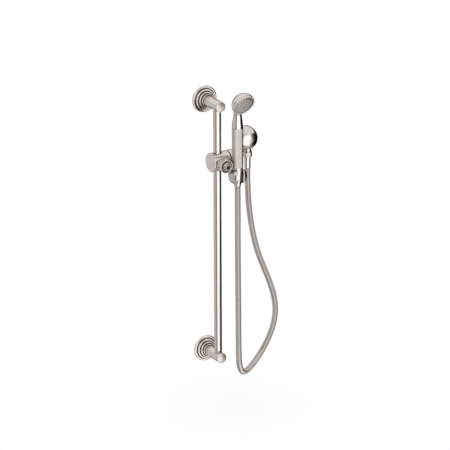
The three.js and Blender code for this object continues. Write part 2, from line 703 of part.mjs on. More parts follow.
function handShower() {
  const face = new THREE.Group();
  face.position.set(0, -faceForward, faceHeight);
  face.rotation.x = Math.PI / 2 + headTilt;
  face.add(
    piece('spray_ring', sprayRing(), 'nickel'),
    piece('spray_plate', sprayPlate(), 'face'),
    piece('nozzle_mat', nozzleMat(), 'rubber'),
    piece('diverter_disc', diverterDisc(), 'acetal'),
    piece('face_screw', faceScrew(), 'polished'),
    piece('head_seal', headSeal(), 'rubber'),
  );
  const handset = group(
    [HANDSET.right, -BAR.standoff - HANDSET.forward, SLIDER.height - HANDSET.below],
    piece('grip_sleeve', gripSleeve(), 'nickel'),
    piece('water_tube', waterTube(), 'brass'),
    piece('neck_cone', neck(), 'polished'),
    piece('neck_collar', neckCollar(), 'polished'),
    piece('head_shell', headShell(), 'nickel'),
    piece('handset_check_valve', checkValve(TUBE.bore, GAP), 'acetal'),
    piece('handset_hose_washer', hoseWasher(washerTop), 'rubber'),
    piece('handset_hose_nut', handsetHoseNut(), 'polished'),
    piece('handset_hose_end', ferrule(
      ferruleTop, crimpTop, crimpTop - FERRULE.crimp, FERRULE.crimpRadius,
    ), 'nickel'),
    face,
  );
  handset.rotation.z = THREE.MathUtils.degToRad(HANDSET.turn);
  return handset;
}

// ---- Supply elbow -------------------------------------------------------------

const domeBack = GASKET.thick + GAP;
const outletFoot = -OUTLET.length;
const supplyWasherTop = outletFoot - GAP;
const supplyFerruleTop = supplyWasherTop - WASHER.thick - GAP;
const supplyNutTop = outletFoot + 3.8;
const supplyNutFoot = supplyNutTop - SUPPLY_NUT.height;
const sleeveTop = supplyNutFoot - GAP;
const sleeveFoot = sleeveTop - SUPPLY_NUT.sleeve;

// The brass elbow: a socket at the wall and a spigot that points down.
function elbowBody() {
  const inlet = outward(rod(ELBOW.inlet, 0, ELBOW.inletLength));
  const outlet = rod(OUTLET.radius, outletFoot, 0).translate(0, -OUTLET.offset, 0);
  const inletBore = outward(rod(ELBOW.inletBore, -1, ELBOW.inletLength - 3));
  const outletBore = rod(OUTLET.bore, outletFoot - 1, 0, SMALL).translate(0, -OUTLET.offset, 0);
  return solid(inlet).add(solid(outlet)).subtract(solid(inletBore)).subtract(solid(outletBore));
}

// The round cover over the elbow, with a hole under it for the spigot.
function elbowDome() {
  const { radius, height, wall, roundness } = DOME;
  const outer = quarter(radius, height - domeBack, roundness, 7);
  const inner = quarter(radius - wall, height - domeBack - wall, roundness, 7).reverse();
  const shell = turned([...outer, ...inner].map(([r, s]) => [r, s + domeBack]));
  const hole = rod(OUTLET.radius + GAP, -radius - 5, 0).translate(0, -OUTLET.offset, 0);
  return solid(outward(shell)).subtract(solid(hole));
}

const wallGasket = () => solid(outward(tube(
  DOME.radius - GASKET.width, DOME.radius, 0, GASKET.thick,
)));

// The knurled nut that holds the hose to the elbow.
function supplyNut() {
  const outline = flutedOutline(SUPPLY_NUT.radius, SUPPLY_NUT.facets, SUPPLY_NUT.knurl, 2);
  const bore = turned([
    [0, supplyNutFoot - 1], [stemRadius + GAP, supplyNutFoot - 1],
    [stemRadius + GAP, supplyFerruleTop - FERRULE.flangeHeight - GAP],
    [connectorBore, supplyFerruleTop - FERRULE.flangeHeight - GAP],
    [connectorBore, supplyNutTop + 1], [0, supplyNutTop + 1],
  ]);
  return solid(prism(outline, supplyNutFoot, supplyNutTop)).subtract(solid(bore));
}

function supplyElbow() {
  const below = group(
    [0, -OUTLET.offset, 0],
    piece('elbow_check_valve', checkValve(OUTLET.bore, outletFoot + 1), 'acetal'),
    piece('supply_hose_washer', hoseWasher(supplyWasherTop), 'rubber'),
    piece('supply_hose_nut', supplyNut(), 'nickel'),
    piece('supply_hose_end', ferrule(
      supplyFerruleTop, sleeveTop, sleeveFoot, FERRULE.crimpRadius,
    ), 'polished'),
  );
  return group(
    [ELBOW.right, 0, ELBOW.height],
    piece('elbow_body', elbowBody(), 'brass'),
    piece('elbow_dome', elbowDome(), 'nickel'),
    piece('elbow_wall_gasket', wallGasket(), 'rubber'),
    below,
  );
}

// ---- Hose ---------------------------------------------------------------------

// The plain outside of the metal hose, from one crimp to the other.
function hose() {
  const start = [
    HANDSET.right, -BAR.standoff - HANDSET.forward, SLIDER.height - HANDSET.below + hoseTop,
  ];
  const end = [ELBOW.right, -OUTLET.offset, ELBOW.height + sleeveFoot - GAP];
  const under = ([x, y, z]) => [x, y, z - HOSE.lead];
  const points = [start, under(start), ...HOSE_ROUTE, under(end), end]
    .map((point) => new THREE.Vector3(...point));
  const path = new THREE.CatmullRomCurve3(points, false, 'centripetal');
  const section = new THREE.Shape(Array.from({ length: HOSE.sides }, (_, i) => {
    const angle = (i / HOSE.sides) * 2 * Math.PI;
    return new THREE.Vector2(HOSE.radius * Math.cos(angle), HOSE.radius * Math.sin(angle));
  }));
  const steps = Math.round(path.getLength() / HOSE.stepLength);
  const geometry = new THREE.ExtrudeGeometry(section, {
    steps, extrudePath: path, bevelEnabled: false,
  });
  return piece('metal_hose', solid(geometry), 'nickel');
}

// ---- The whole kit ------------------------------------------------------------

const kit = new THREE.Group();
kit.add(
  wallMount('upper', 0, -1),
  wallMount('lower', -BAR.spacing, 1),
  slideBar(),
  slider(),
  handShower(),
  supplyElbow(),
  hose(),
);

export default kit;
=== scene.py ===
import json
from math import atan2, ceil, cos, pi, radians, sin

import bmesh
import bpy
from mathutils import Matrix, Vector


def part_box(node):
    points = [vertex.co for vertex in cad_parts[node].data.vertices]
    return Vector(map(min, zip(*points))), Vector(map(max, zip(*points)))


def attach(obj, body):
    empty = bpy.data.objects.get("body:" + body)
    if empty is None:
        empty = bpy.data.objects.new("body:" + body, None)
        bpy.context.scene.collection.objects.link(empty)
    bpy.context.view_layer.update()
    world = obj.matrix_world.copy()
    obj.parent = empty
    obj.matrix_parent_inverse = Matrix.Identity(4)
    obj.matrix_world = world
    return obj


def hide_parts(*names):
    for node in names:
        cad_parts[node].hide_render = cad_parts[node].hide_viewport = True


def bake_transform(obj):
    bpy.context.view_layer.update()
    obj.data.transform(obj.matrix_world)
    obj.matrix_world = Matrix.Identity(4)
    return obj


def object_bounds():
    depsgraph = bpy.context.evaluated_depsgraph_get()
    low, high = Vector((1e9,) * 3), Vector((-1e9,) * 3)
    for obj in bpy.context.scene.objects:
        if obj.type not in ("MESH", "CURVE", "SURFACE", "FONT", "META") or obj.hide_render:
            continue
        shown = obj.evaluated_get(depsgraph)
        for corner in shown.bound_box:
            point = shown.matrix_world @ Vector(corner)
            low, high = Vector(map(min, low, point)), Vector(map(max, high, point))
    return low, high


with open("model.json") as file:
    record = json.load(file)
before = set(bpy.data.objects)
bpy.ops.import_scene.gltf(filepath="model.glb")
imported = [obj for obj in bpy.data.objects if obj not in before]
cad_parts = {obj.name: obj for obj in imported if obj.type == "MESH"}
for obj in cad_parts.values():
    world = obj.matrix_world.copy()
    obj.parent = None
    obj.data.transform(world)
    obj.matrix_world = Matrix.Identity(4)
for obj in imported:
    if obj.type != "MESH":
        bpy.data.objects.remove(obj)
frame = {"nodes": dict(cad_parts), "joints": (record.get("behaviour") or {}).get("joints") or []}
cad_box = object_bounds()

VIEW_AZIMUTH = radians(-30.85)
VIEW_ELEVATION = radians(20.68)
VIEW_ROLL = radians(-0.2)
VIEW_DISTANCE = 6.0
VIEW_TARGET = Vector((0.01964, -0.0576, -0.2897))

back = Vector((
    sin(VIEW_AZIMUTH) * cos(VIEW_ELEVATION),
    -cos(VIEW_AZIMUTH) * cos(VIEW_ELEVATION),
    sin(VIEW_ELEVATION),
))
right = Vector((cos(VIEW_AZIMUTH), sin(VIEW_AZIMUTH), 0))
upward = back.cross(right)
turned_right = right * cos(VIEW_ROLL) + upward * sin(VIEW_ROLL)
turned_up = upward * cos(VIEW_ROLL) - right * sin(VIEW_ROLL)

camera_data = bpy.data.cameras.new("studio_camera")
camera_data.sensor_width = 36
camera_data.lens = 210.7
camera = bpy.data.objects.new("studio_camera", camera_data)
bpy.context.scene.collection.objects.link(camera)
camera.matrix_world = Matrix.Translation(VIEW_TARGET + back * VIEW_DISTANCE) @ Matrix(
    (turned_right, turned_up, back)
).transposed().to_4x4()
bpy.context.scene.camera = camera

# ---- Metal hose ---------------------------------------------------------------
# A strip of nickel-plated brass wound into an interlocked spiral round a rubber
# inner tube. It hangs from the hand shower, turns back to the wall and climbs to the
# elbow, crimped into a fitting at each end.

MM = 0.001
GAP = 0.3 * MM
HOSE_RADIUS = 7 * MM
HOSE_PITCH = 4.4 * MM
HOSE_GROOVE = 1.3 * MM
HOSE_STEPS_PER_TURN = 10
HOSE_SIDES = 28
HOSE_LEAD = 10 * MM
HOSE_ROUTE = [
    (0.0306, -0.0956, -0.210), (0.0296, -0.0974, -0.245), (0.0284, -0.0994, -0.285),
    (0.0272, -0.1014, -0.325), (0.026, -0.1036, -0.367), (0.025, -0.1058, -0.410),
    (0.024, -0.108, -0.455), (0.023, -0.1104, -0.500), (0.0218, -0.1128, -0.545),
    (0.0216, -0.114, -0.585), (0.026, -0.1096, -0.618), (0.040, -0.0976, -0.642),
    (0.063, -0.079, -0.6535), (0.088, -0.0615, -0.653), (0.113, -0.0466, -0.6445),
    (0.136, -0.035, -0.6305), (0.156, -0.028, -0.608), (0.170, -0.025, -0.580),
    (0.1764, -0.024, -0.545), (0.173, -0.023, -0.510), (0.1625, -0.022, -0.473),
    (0.148, -0.021, -0.436), (0.133, -0.020, -0.397), (0.121, -0.019, -0.355),
    (0.1126, -0.0178, -0.310), (0.1076, -0.0164, -0.265), (0.1059, -0.0152, -0.222),
]


def middle_of(node):
    low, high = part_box(node)
    return (low + high) / 2


def foot_of(node):
    """The middle of a node's lowest face, a static gap below it."""
    centre = middle_of(node)
    return Vector((centre.x, centre.y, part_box(node)[0].z - GAP))


def smooth_route(points, spacing):
    """A centripetal spline through the points, cut into equal steps."""
    ends = [2 * points[0] - points[1], *points, 2 * points[-1] - points[-2]]
    fine = []
    for p0, p1, p2, p3 in zip(ends, ends[1:], ends[2:], ends[3:]):
        t1 = (p1 - p0).length ** 0.5
        t2 = t1 + (p2 - p1).length ** 0.5
        t3 = t2 + (p3 - p2).length ** 0.5
        for i in range(40):
            t = t1 + (t2 - t1) * i / 40
            a1 = p0.lerp(p1, t / t1)
            a2 = p1.lerp(p2, (t - t1) / (t2 - t1))
            a3 = p2.lerp(p3, (t - t2) / (t3 - t2))
            b1 = a1.lerp(a2, t / t2)
            b2 = a2.lerp(a3, (t - t1) / (t3 - t1))
            fine.append(b1.lerp(b2, (t - t1) / (t2 - t1)))
    fine.append(points[-1].copy())
    lengths = [0.0]
    for a, b in zip(fine, fine[1:]):
        lengths.append(lengths[-1] + (b - a).length)
    count = ceil(lengths[-1] / spacing)
    route = []
    at = 0
    for i in range(count + 1):
        goal = lengths[-1] * i / count
        while at < len(fine) - 2 and lengths[at + 1] < goal:
            at += 1
        share = (goal - lengths[at]) / (lengths[at + 1] - lengths[at])
        route.append(fine[at].lerp(fine[at + 1], share))
    return route


def spiral_depth(turn):
    """How deep the winding lies, from 0 on its crown to 1 in its seam."""
    return ((1 + cos(2 * pi * turn)) / 2) ** 0.8


def hose_rings(route):
    """The rings of the hose's outside, with the seam winding round them."""
    tangents = [(b - a).normalized() for a, b in zip(route, route[1:])]
    tangents.append(tangents[-1])
    across = tangents[0].orthogonal().normalized()
    step = (route[1] - route[0]).length
    rings = []
    for i, (point, tangent) in enumerate(zip(route, tangents)):
        across = (across - across.dot(tangent) * tangent).normalized()
        beside = tangent.cross(across)
        ring = []
        for side in range(HOSE_SIDES):
            share = side / HOSE_SIDES
            depth = HOSE_GROOVE * spiral_depth(i * step / HOSE_PITCH - share)
            spoke = across * cos(2 * pi * share) + beside * sin(2 * pi * share)
            ring.append(point + spoke * (HOSE_RADIUS - depth))
        rings.append(ring)
    return rings


def tube_mesh(name, rings):
    """An open tube through rings of points."""
    around = len(rings[0])
    points = [point for ring in rings for point in ring]
    faces = []
    for i in range(len(rings) - 1):
        for j in range(around):
            k = (j + 1) % around
            faces.append((
                i * around + j, i * around + k, (i + 1) * around + k, (i + 1) * around + j,
            ))
    mesh = bpy.data.meshes.new(name)
    mesh.from_pydata(points, [], faces)
    mesh.shade_smooth()
    piece = bpy.data.objects.new(name, mesh)
    bpy.context.scene.collection.objects.link(piece)
    return piece


hose_top = foot_of("handset_hose_end")
hose_end = foot_of("supply_hose_end")
drop = Vector((0, 0, HOSE_LEAD))
hose_points = [
    hose_top, hose_top - drop, *map(Vector, HOSE_ROUTE), hose_end - drop, hose_end,
]
hose_route = smooth_route(hose_points, HOSE_PITCH / HOSE_STEPS_PER_TURN)
hose_surface = hose_rings(hose_route)

# The stretches from the handset down, each between two bodies that one joint joins,
# with the height where each stretch ends. The last runs round the bend to the elbow.
HOSE_STRETCHES = [
    ("hose_at_handset", "holder", "hose_end", -0.276),
    ("hose_under_holder", "slider", "holder", -0.385),
    ("hose_down_the_bar", "bush", "slider", -0.520),
    ("hose_to_elbow", "wall_rail", "bush", None),
]

hose_pieces = []
first = 0
for name, upper_body, lower_body, foot_height in HOSE_STRETCHES:
    last = len(hose_route) - 1
    if foot_height is not None:
        last = next(i for i, point in enumerate(hose_route) if point.z < foot_height)
    piece = tube_mesh(name, hose_surface[first : last + 1])
    if foot_height is None:
        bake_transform(piece)
    else:
        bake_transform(piece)
    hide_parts("metal_hose")
    hose_pieces.append(piece)
    first = last


def shader_group(name, inputs, outputs):
    """An empty node group with named inputs and outputs, for an effect that repeats."""
    group = bpy.data.node_groups.new(name, "ShaderNodeTree")
    for label, kind, value in inputs:
        socket = group.interface.new_socket(label, in_out="INPUT", socket_type=kind)
        if value is not None:
            socket.default_value = value
    for label, kind in outputs:
        group.interface.new_socket(label, in_out="OUTPUT", socket_type=kind)
    return group, group.nodes.new("NodeGroupInput"), group.nodes.new("NodeGroupOutput")


def turned_grain_group():
    """Fine scratches that run round a piece's own Z axis, as satin finishing leaves."""
    group, given, result = shader_group(
        "turned_grain",
        [("Lines per metre", "NodeSocketFloat", 2600), ("Along per metre", "NodeSocketFloat", 90)],
        [("Lines", "NodeSocketFloat"), ("Mottle", "NodeSocketFloat")],
    )
    nodes, links = group.nodes, group.links
    place = nodes.new("ShaderNodeTexCoord")
    apart = nodes.new("ShaderNodeSeparateXYZ")
    flat = nodes.new("ShaderNodeCombineXYZ")
    reach = nodes.new("ShaderNodeVectorMath")
    reach.operation = "LENGTH"
    climb = nodes.new("ShaderNodeMath")
    climb.operation = "ADD"
    links.new(place.outputs["Object"], apart.inputs[0])
    links.new(apart.outputs["X"], flat.inputs["X"])
    links.new(apart.outputs["Y"], flat.inputs["Y"])
    links.new(flat.outputs[0], reach.inputs[0])
    links.new(reach.outputs["Value"], climb.inputs[0])
    links.new(apart.outputs["Z"], climb.inputs[1])
    along = nodes.new("ShaderNodeVectorMath")
    along.operation = "SCALE"
    links.new(flat.outputs[0], along.inputs[0])
    links.new(given.outputs["Along per metre"], along.inputs["Scale"])
    count = nodes.new("ShaderNodeMath")
    count.operation = "MULTIPLY"
    links.new(climb.outputs[0], count.inputs[0])
    links.new(given.outputs["Lines per metre"], count.inputs[1])
    pair = nodes.new("ShaderNodeSeparateXYZ")
    links.new(along.outputs[0], pair.inputs[0])
    joined = nodes.new("ShaderNodeCombineXYZ")
    links.new(pair.outputs["X"], joined.inputs["X"])
    links.new(pair.outputs["Y"], joined.inputs["Y"])
    links.new(count.outputs[0], joined.inputs["Z"])
    lines = nodes.new("ShaderNodeTexNoise")
    lines.inputs["Scale"].default_value = 1
    lines.inputs["Detail"].default_value = 3
    lines.inputs["Roughness"].default_value = 0.7
    links.new(joined.outputs[0], lines.inputs["Vector"])
    mottle = nodes.new("ShaderNodeTexNoise")
    mottle.inputs["Scale"].default_value = 55
    mottle.inputs["Detail"].default_value = 3
    links.new(place.outputs["Object"], mottle.inputs["Vector"])
    links.new(lines.outputs["Fac"], result.inputs["Lines"])
    links.new(mottle.outputs["Fac"], result.inputs["Mottle"])
    return group


turned_grain = turned_grain_group()


# Painted shade in crevices: how far the occlusion looks, and the near-black tone it paints into
# the deepest ones.
PAINTED_SHADE_REACH = 3.5 * MM
PAINTED_SHADE_TONE = (0.05, 0.042, 0.038)


def nickel_finish(
    name, colour, roughness, grain_depth, lines=2600, mottle=0.05, open_from=0.3, open_to=0.82,
):
    """Nickel plate: scratches set the bump, mottle the tone, and painted shade darkens the
    crevices.
    """
    material = bpy.data.materials.new(name)
    material.use_nodes = True
    nodes, links = material.node_tree.nodes, material.node_tree.links
    shader = nodes["Principled BSDF"]
    shader.inputs["Metallic"].default_value = 1
    grain = nodes.new("ShaderNodeGroup")
    grain.node_tree = turned_grain
    grain.inputs["Lines per metre"].default_value = lines
    tone = nodes.new("ShaderNodeMix")
    tone.data_type = "RGBA"
    tone.inputs["A"].default_value = (*[c * (1 - mottle) for c in colour], 1)
    tone.inputs["B"].default_value = (*[min(1, c * (1 + mottle)) for c in colour], 1)
    links.new(grain.outputs["Mottle"], tone.inputs["Factor"])
    # Painted shade: ambient occlusion darkens the base colour towards a near-black tone in
    # crevices, seams and grooves.
    occlusion = nodes.new("ShaderNodeAmbientOcclusion")
    occlusion.inputs["Distance"].default_value = PAINTED_SHADE_REACH
    unshaded_share = nodes.new("ShaderNodeMapRange")
    unshaded_share.inputs["From Min"].default_value = open_from
    unshaded_share.inputs["From Max"].default_value = open_to
    links.new(occlusion.outputs["AO"], unshaded_share.inputs["Value"])
    painted_shade = nodes.new("ShaderNodeMix")
    painted_shade.data_type = "RGBA"
    painted_shade.inputs["A"].default_value = (*PAINTED_SHADE_TONE, 1)
    links.new(unshaded_share.outputs["Result"], painted_shade.inputs["Factor"])
    links.new(tone.outputs["Result"], painted_shade.inputs["B"])
    links.new(painted_shade.outputs["Result"], shader.inputs["Base Color"])
    gloss = nodes.new("ShaderNodeMapRange")
    gloss.inputs["To Min"].default_value = roughness * 0.8
    gloss.inputs["To Max"].default_value = roughness * 1.2
    links.new(grain.outputs["Lines"], gloss.inputs["Value"])
    links.new(gloss.outputs["Result"], shader.inputs["Roughness"])
    bump = nodes.new("ShaderNodeBump")
    bump.inputs["Strength"].default_value = 0.35
    bump.inputs["Distance"].default_value = grain_depth
    links.new(grain.outputs["Lines"], bump.inputs["Height"])
    links.new(bump.outputs["Normal"], shader.inputs["Normal"])
    return material


NICKEL = (0.585, 0.535, 0.505)
# The hose's seams take more of the painted shade than other pieces.
hose_nickel = nickel_finish(
    "hose_nickel", (0.54, 0.50, 0.475), 0.12, 0.003 * MM, open_from=0.55, open_to=1.0,
)
for piece in hose_pieces:
    piece.data.materials.append(hose_nickel)

# ---- Wall brackets ------------------------------------------------------------
# Stainless steel plates that two screws hold to the wall. Each has a turned spigot
# that carries a post. The cover flange hides the plate from the front.


def plain_finish(name, colour, roughness, metal, scale, depth, shade=0.08):
    """A finish without a direction: cast, drawn or moulded, with a fine tooth."""
    material = bpy.data.materials.new(name)
    material.use_nodes = True
    nodes, links = material.node_tree.nodes, material.node_tree.links
    shader = nodes["Principled BSDF"]
    shader.inputs["Metallic"].default_value = metal
    tooth = nodes.new("ShaderNodeGroup")
    tooth.node_tree = surface_tooth
    tooth.inputs["Grains per metre"].default_value = scale
    tone = nodes.new("ShaderNodeMix")
    tone.data_type = "RGBA"
    tone.inputs["A"].default_value = (*[c * (1 - shade) for c in colour], 1)
    tone.inputs["B"].default_value = (*[min(1, c * (1 + shade)) for c in colour], 1)
    links.new(tooth.outputs["Patches"], tone.inputs["Factor"])
    links.new(tone.outputs["Result"], shader.inputs["Base Color"])
    gloss = nodes.new("ShaderNodeMapRange")
    gloss.inputs["To Min"].default_value = roughness * 0.85
    gloss.inputs["To Max"].default_value = min(1, roughness * 1.15)
    links.new(tooth.outputs["Patches"], gloss.inputs["Value"])
    links.new(gloss.outputs["Result"], shader.inputs["Roughness"])
    bump = nodes.new("ShaderNodeBump")
    bump.inputs["Strength"].default_value = 0.4
    bump.inputs["Distance"].default_value = depth
    links.new(tooth.outputs["Grains"], bump.inputs["Height"])
    links.new(bump.outputs["Normal"], shader.inputs["Normal"])
    return material


def surface_tooth_group():
    """The small grains of a surface and the larger patches that it wears in."""
    group, given, result = shader_group(
        "surface_tooth",
        [("Grains per metre", "NodeSocketFloat", 2000)],
        [("Grains", "NodeSocketFloat"), ("Patches", "NodeSocketFloat")],
    )
    nodes, links = group.nodes, group.links
    place = nodes.new("ShaderNodeTexCoord")
    grains = nodes.new("ShaderNodeTexNoise")
    grains.inputs["Detail"].default_value = 3
    links.new(place.outputs["Object"], grains.inputs["Vector"])
    links.new(given.outputs["Grains per metre"], grains.inputs["Scale"])
    patches = nodes.new("ShaderNodeTexNoise")
    patches.inputs["Scale"].default_value = 90
    patches.inputs["Detail"].default_value = 4
    links.new(place.outputs["Object"], patches.inputs["Vector"])
    links.new(grains.outputs["Fac"], result.inputs["Grains"])
    links.new(patches.outputs["Fac"], result.inputs["Patches"])
    return group


def dress(node, material):
    """Gives a node that keeps its own shape its material."""
    for place in frame["nodes"][node].material_slots:
        place.material = material


surface_tooth = surface_tooth_group()
steel = plain_finish("steel", (0.52, 0.52, 0.53), 0.36, 1, 3500, 0.01 * MM)
dress("upper_wall_bracket", steel)
dress("lower_wall_bracket", steel)

# ---- Cover flanges ------------------------------------------------------------
# Thin brass cups, spun in four steps and plated in satin nickel. Each slides along its
# post and presses against the wall over the bracket.

OUT_OF_WALL = Matrix.Rotation(pi / 2, 4, "X")
FLANGE_STEPS = [(31, 4.5), (24.5, 9), (19, 13.5), (14.5, 18)]
FLANGE_WALL = 1.6
FLANGE_BORE = 12.3
GROOVE_WIDTH = 1.5
GROOVE_DEPTH = 1.2


def softened(profile, edge):
    """A profile with its corners rounded, as far as its sides have room."""
    line = [Vector((radius, height)) for radius, height in profile]
    soft = [line[0]]
    for before, corner, after in zip(line, line[1:], line[2:]):
        reach = min(edge, 0.45 * (corner - before).length, 0.45 * (after - corner).length)
        start = corner + (before - corner).normalized() * reach
        end = corner + (after - corner).normalized() * reach
        for t in (0, 0.25, 0.5, 0.75, 1):
            soft.append(start.lerp(corner, t).lerp(corner.lerp(end, t), t))
    return [*soft, line[-1]]


def turned(name, profile, place, edge=0.3, segments=96, carve=None, lean=None):
    """A piece turned about its own Z axis from a profile in millimetres.

    carve(radius, height, angle) gives the radius at a flute, rib or notch, and
    lean(height) how far the piece's middle stands forward at a height.
    """
    shape = bmesh.new()
    rings = []
    for radius, height in softened(profile, edge):
        forward = lean(height) if lean else 0
        if radius < 1e-6:
            rings.append([shape.verts.new((0, -forward * MM, height * MM))])
            continue
        ring = []
        for i in range(segments):
            angle = 2 * pi * i / segments
            reach = carve(radius, height, angle) if carve else radius
            ring.append(shape.verts.new((
                reach * cos(angle) * MM, (reach * sin(angle) - forward) * MM, height * MM,
            )))
        rings.append(ring)
    if len(rings[0]) > 1:
        rings.append(rings[0])
    for low, high in zip(rings, rings[1:]):
        for i in range(segments):
            j = i + 1
            corners = dict.fromkeys((
                low[i % len(low)], low[j % len(low)], high[j % len(high)], high[i % len(high)],
            ))
            if len(corners) > 2:
                shape.faces.new(list(corners))
    bmesh.ops.recalc_face_normals(shape, faces=shape.faces)
    mesh = bpy.data.meshes.new(name)
    shape.to_mesh(mesh)
    shape.free()
    mesh.shade_smooth()
    mesh.set_sharp_from_angle(angle=radians(38))
    piece = bpy.data.objects.new(name, mesh)
    piece.matrix_world = place
    bpy.context.scene.collection.objects.link(piece)
    return piece


def fit_piece(piece, node, body, material):
    """Puts a finished piece in place of its plain node, on the body it moves with."""
    piece.data.materials.clear()
    piece.data.materials.append(material)
    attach(piece, body)
    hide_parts(node)


def on_wall(node):
    """A frame with +Z out of the wall, at a node's middle against the wall."""
    centre = middle_of(node)
    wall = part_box("upper_wall_bracket")[1].y
    return Matrix.Translation((centre.x, wall, centre.z)) @ OUT_OF_WALL


satin_nickel = nickel_finish("satin_nickel", NICKEL, 0.19, 0.006 * MM)

outside = []
inside = []
for i, (radius, front) in enumerate(FLANGE_STEPS):
    last_step = i == len(FLANGE_STEPS) - 1
    behind = FLANGE_STEPS[i - 1][1] if i else 0
    outside += [(radius, behind - (GROOVE_DEPTH if i else 0)), (radius, front)]
    if not last_step:
        root = FLANGE_STEPS[i + 1][0]
        outside += [
            (root + GROOVE_WIDTH, front), (root + GROOVE_WIDTH / 2, front - GROOVE_DEPTH),
            (root, front - GROOVE_DEPTH),
        ]
    inner = FLANGE_BORE if last_step else radius - FLANGE_WALL
    inside += [(inner, max(0, behind - FLANGE_WALL)), (inner, front - FLANGE_WALL)]
inside[-1] = (FLANGE_BORE, FLANGE_STEPS[-1][1])
flange_profile = [*outside, *reversed(inside)]

for end in ("upper", "lower"):
    flange = turned(
        f"{end}_flange_shell", flange_profile, on_wall(f"{end}_flange"), edge=2.6, segments=128,
    )
    fit_piece(flange, f"{end}_flange", "wall_rail", satin_nickel)

# ---- Posts --------------------------------------------------------------------
# Solid brass arms, turned and plated. Each is bored from behind for its spigot and
# across for the end of the bar.

POST_RADIUS = 12
POST_BACK = 4.3
POST_FRONT = 70
BAR_BORE = 9.3
BAR_SEAT = 6
CUT_REACH = 30
POST_VOXEL = 0.42


def fused(blanks, cuts, voxel, melt):
    """One casting: blanks joined and cut, then its edges melted round."""
    body = blanks[0]
    steps = [(blank, "UNION") for blank in blanks[1:]] + [(cut, "DIFFERENCE") for cut in cuts]
    for other, operation in steps:
        join = body.modifiers.new("join", "BOOLEAN")
        join.operation = operation
        join.solver = "EXACT"
        join.object = other
    skin = body.modifiers.new("skin", "REMESH")
    skin.mode = "VOXEL"
    skin.voxel_size = voxel * MM
    soften = body.modifiers.new("soften", "SMOOTH")
    soften.factor = 0.5
    soften.iterations = melt
    thin = body.modifiers.new("thin", "DECIMATE")
    thin.ratio = 0.3
    bpy.context.view_layer.update()
    made = body.evaluated_get(bpy.context.evaluated_depsgraph_get())
    mesh = bpy.data.meshes.new_from_object(made)
    body.modifiers.clear()
    body.data = mesh
    mesh.shade_smooth()
    for other, _ in steps:
        bpy.data.objects.remove(other)
    return body


for end, bar_side in (("upper", -1), ("lower", 1)):
    at_wall = on_wall(f"{end}_flange")
    bar_middle = middle_of("slide_bar")
    height = at_wall.translation.z
    blank = turned(
        f"{end}_post_arm",
        [(0, POST_BACK), (POST_RADIUS, POST_BACK), (POST_RADIUS, POST_FRONT), (0, POST_FRONT)],
        at_wall, edge=0.9, segments=128,
    )
    bar_way = turned(
        "bar_way", [(0, -BAR_SEAT), (BAR_BORE, -BAR_SEAT), (BAR_BORE, CUT_REACH), (0, CUT_REACH)],
        Matrix.Translation((bar_middle.x, bar_middle.y, height))
        @ Matrix.Rotation(pi if bar_side < 0 else 0, 4, "X"),
        edge=0,
    )
    arm = fused([blank], [bar_way], POST_VOXEL, 3)
    fit_piece(arm, f"{end}_post", "wall_rail", satin_nickel)

# ---- Post caps ----------------------------------------------------------------
# Turned brass discs with a softened edge, plated like the posts. They press into the
# front of the posts over the bar screws.

CAP_BACK = 70.3
CAP_FRONT = 75
CAP_EDGE = 1.3
cap_nickel = nickel_finish("cap_nickel", NICKEL, 0.3, 0.01 * MM, lines=3400)

for end in ("upper", "lower"):
    cap = turned(
        f"{end}_post_end",
        [
            (0, CAP_BACK), (POST_RADIUS - 0.7, CAP_BACK), (POST_RADIUS, CAP_BACK + 0.7),
            (POST_RADIUS, CAP_FRONT), (0, CAP_FRONT),
        ],
        on_wall(f"{end}_flange"), edge=CAP_EDGE, segments=128,
    )
    fit_piece(cap, f"{end}_post_cap", "wall_rail", cap_nickel)

# ---- Bar plugs and screws -----------------------------------------------------
# A brass plug in each end of the bar takes the screw that ties the bar to its post,
# and a steel grub screw under each post bites on the spigot.

brass = plain_finish("brass", (0.71, 0.56, 0.31), 0.38, 1, 2800, 0.015 * MM)
for end in ("upper", "lower"):
    dress(f"{end}_bar_plug", brass)
    dress(f"{end}_bar_screw", steel)
    dress(f"{end}_grub_screw", steel)

# ---- Slide bar ----------------------------------------------------------------
# A drawn brass tube, brushed lightly round and plated. A plug and a screw at each end
# tie it to its post.

BAR_RADIUS = 9
BAR_WALL = 1.6
bar_nickel = nickel_finish("bar_nickel", NICKEL, 0.12, 0.003 * MM, lines=1800)

bar_low, bar_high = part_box("slide_bar")
bar_length = (bar_high.z - bar_low.z) / MM
bar = turned(
    "slide_bar_tube",
    [
        (BAR_RADIUS - BAR_WALL, 0), (BAR_RADIUS, 0), (BAR_RADIUS, bar_length),
        (BAR_RADIUS - BAR_WALL, bar_length),
    ],
    Matrix.Translation((middle_of("slide_bar").x, middle_of("slide_bar").y, bar_low.z)),
    edge=0.3, segments=160,
)
fit_piece(bar, "slide_bar", "wall_rail", bar_nickel)

# ---- Slider -------------------------------------------------------------------
# A plated brass barrel that lies across the bar, with an acetal bush inside it to
# glide on. An acetal washer keeps the holder off its right face.

TO_THE_RIGHT = Matrix.Rotation(pi / 2, 4, "Y")
BARREL_RADIUS = 22
BARREL_LEFT = -18.4
BARREL_RIGHT = 25
BUSH_BORE = 11.5
CLAMP_BORE = 5.9
CLAMP_DEPTH = 16
STUD_BORE = 3.3
BARREL_VOXEL = 0.42
WASHER_RADIUS = 17
WASHER_LEFT = 25.3
WASHER_RIGHT = 26.5
BOLT_BORE = 4.3

acetal = plain_finish("acetal", (0.82, 0.81, 0.77), 0.5, 0, 1600, 0.01 * MM, shade=0.03)
dress("slide_bush", acetal)
slider_middle = Matrix.Translation(middle_of("slide_bush"))

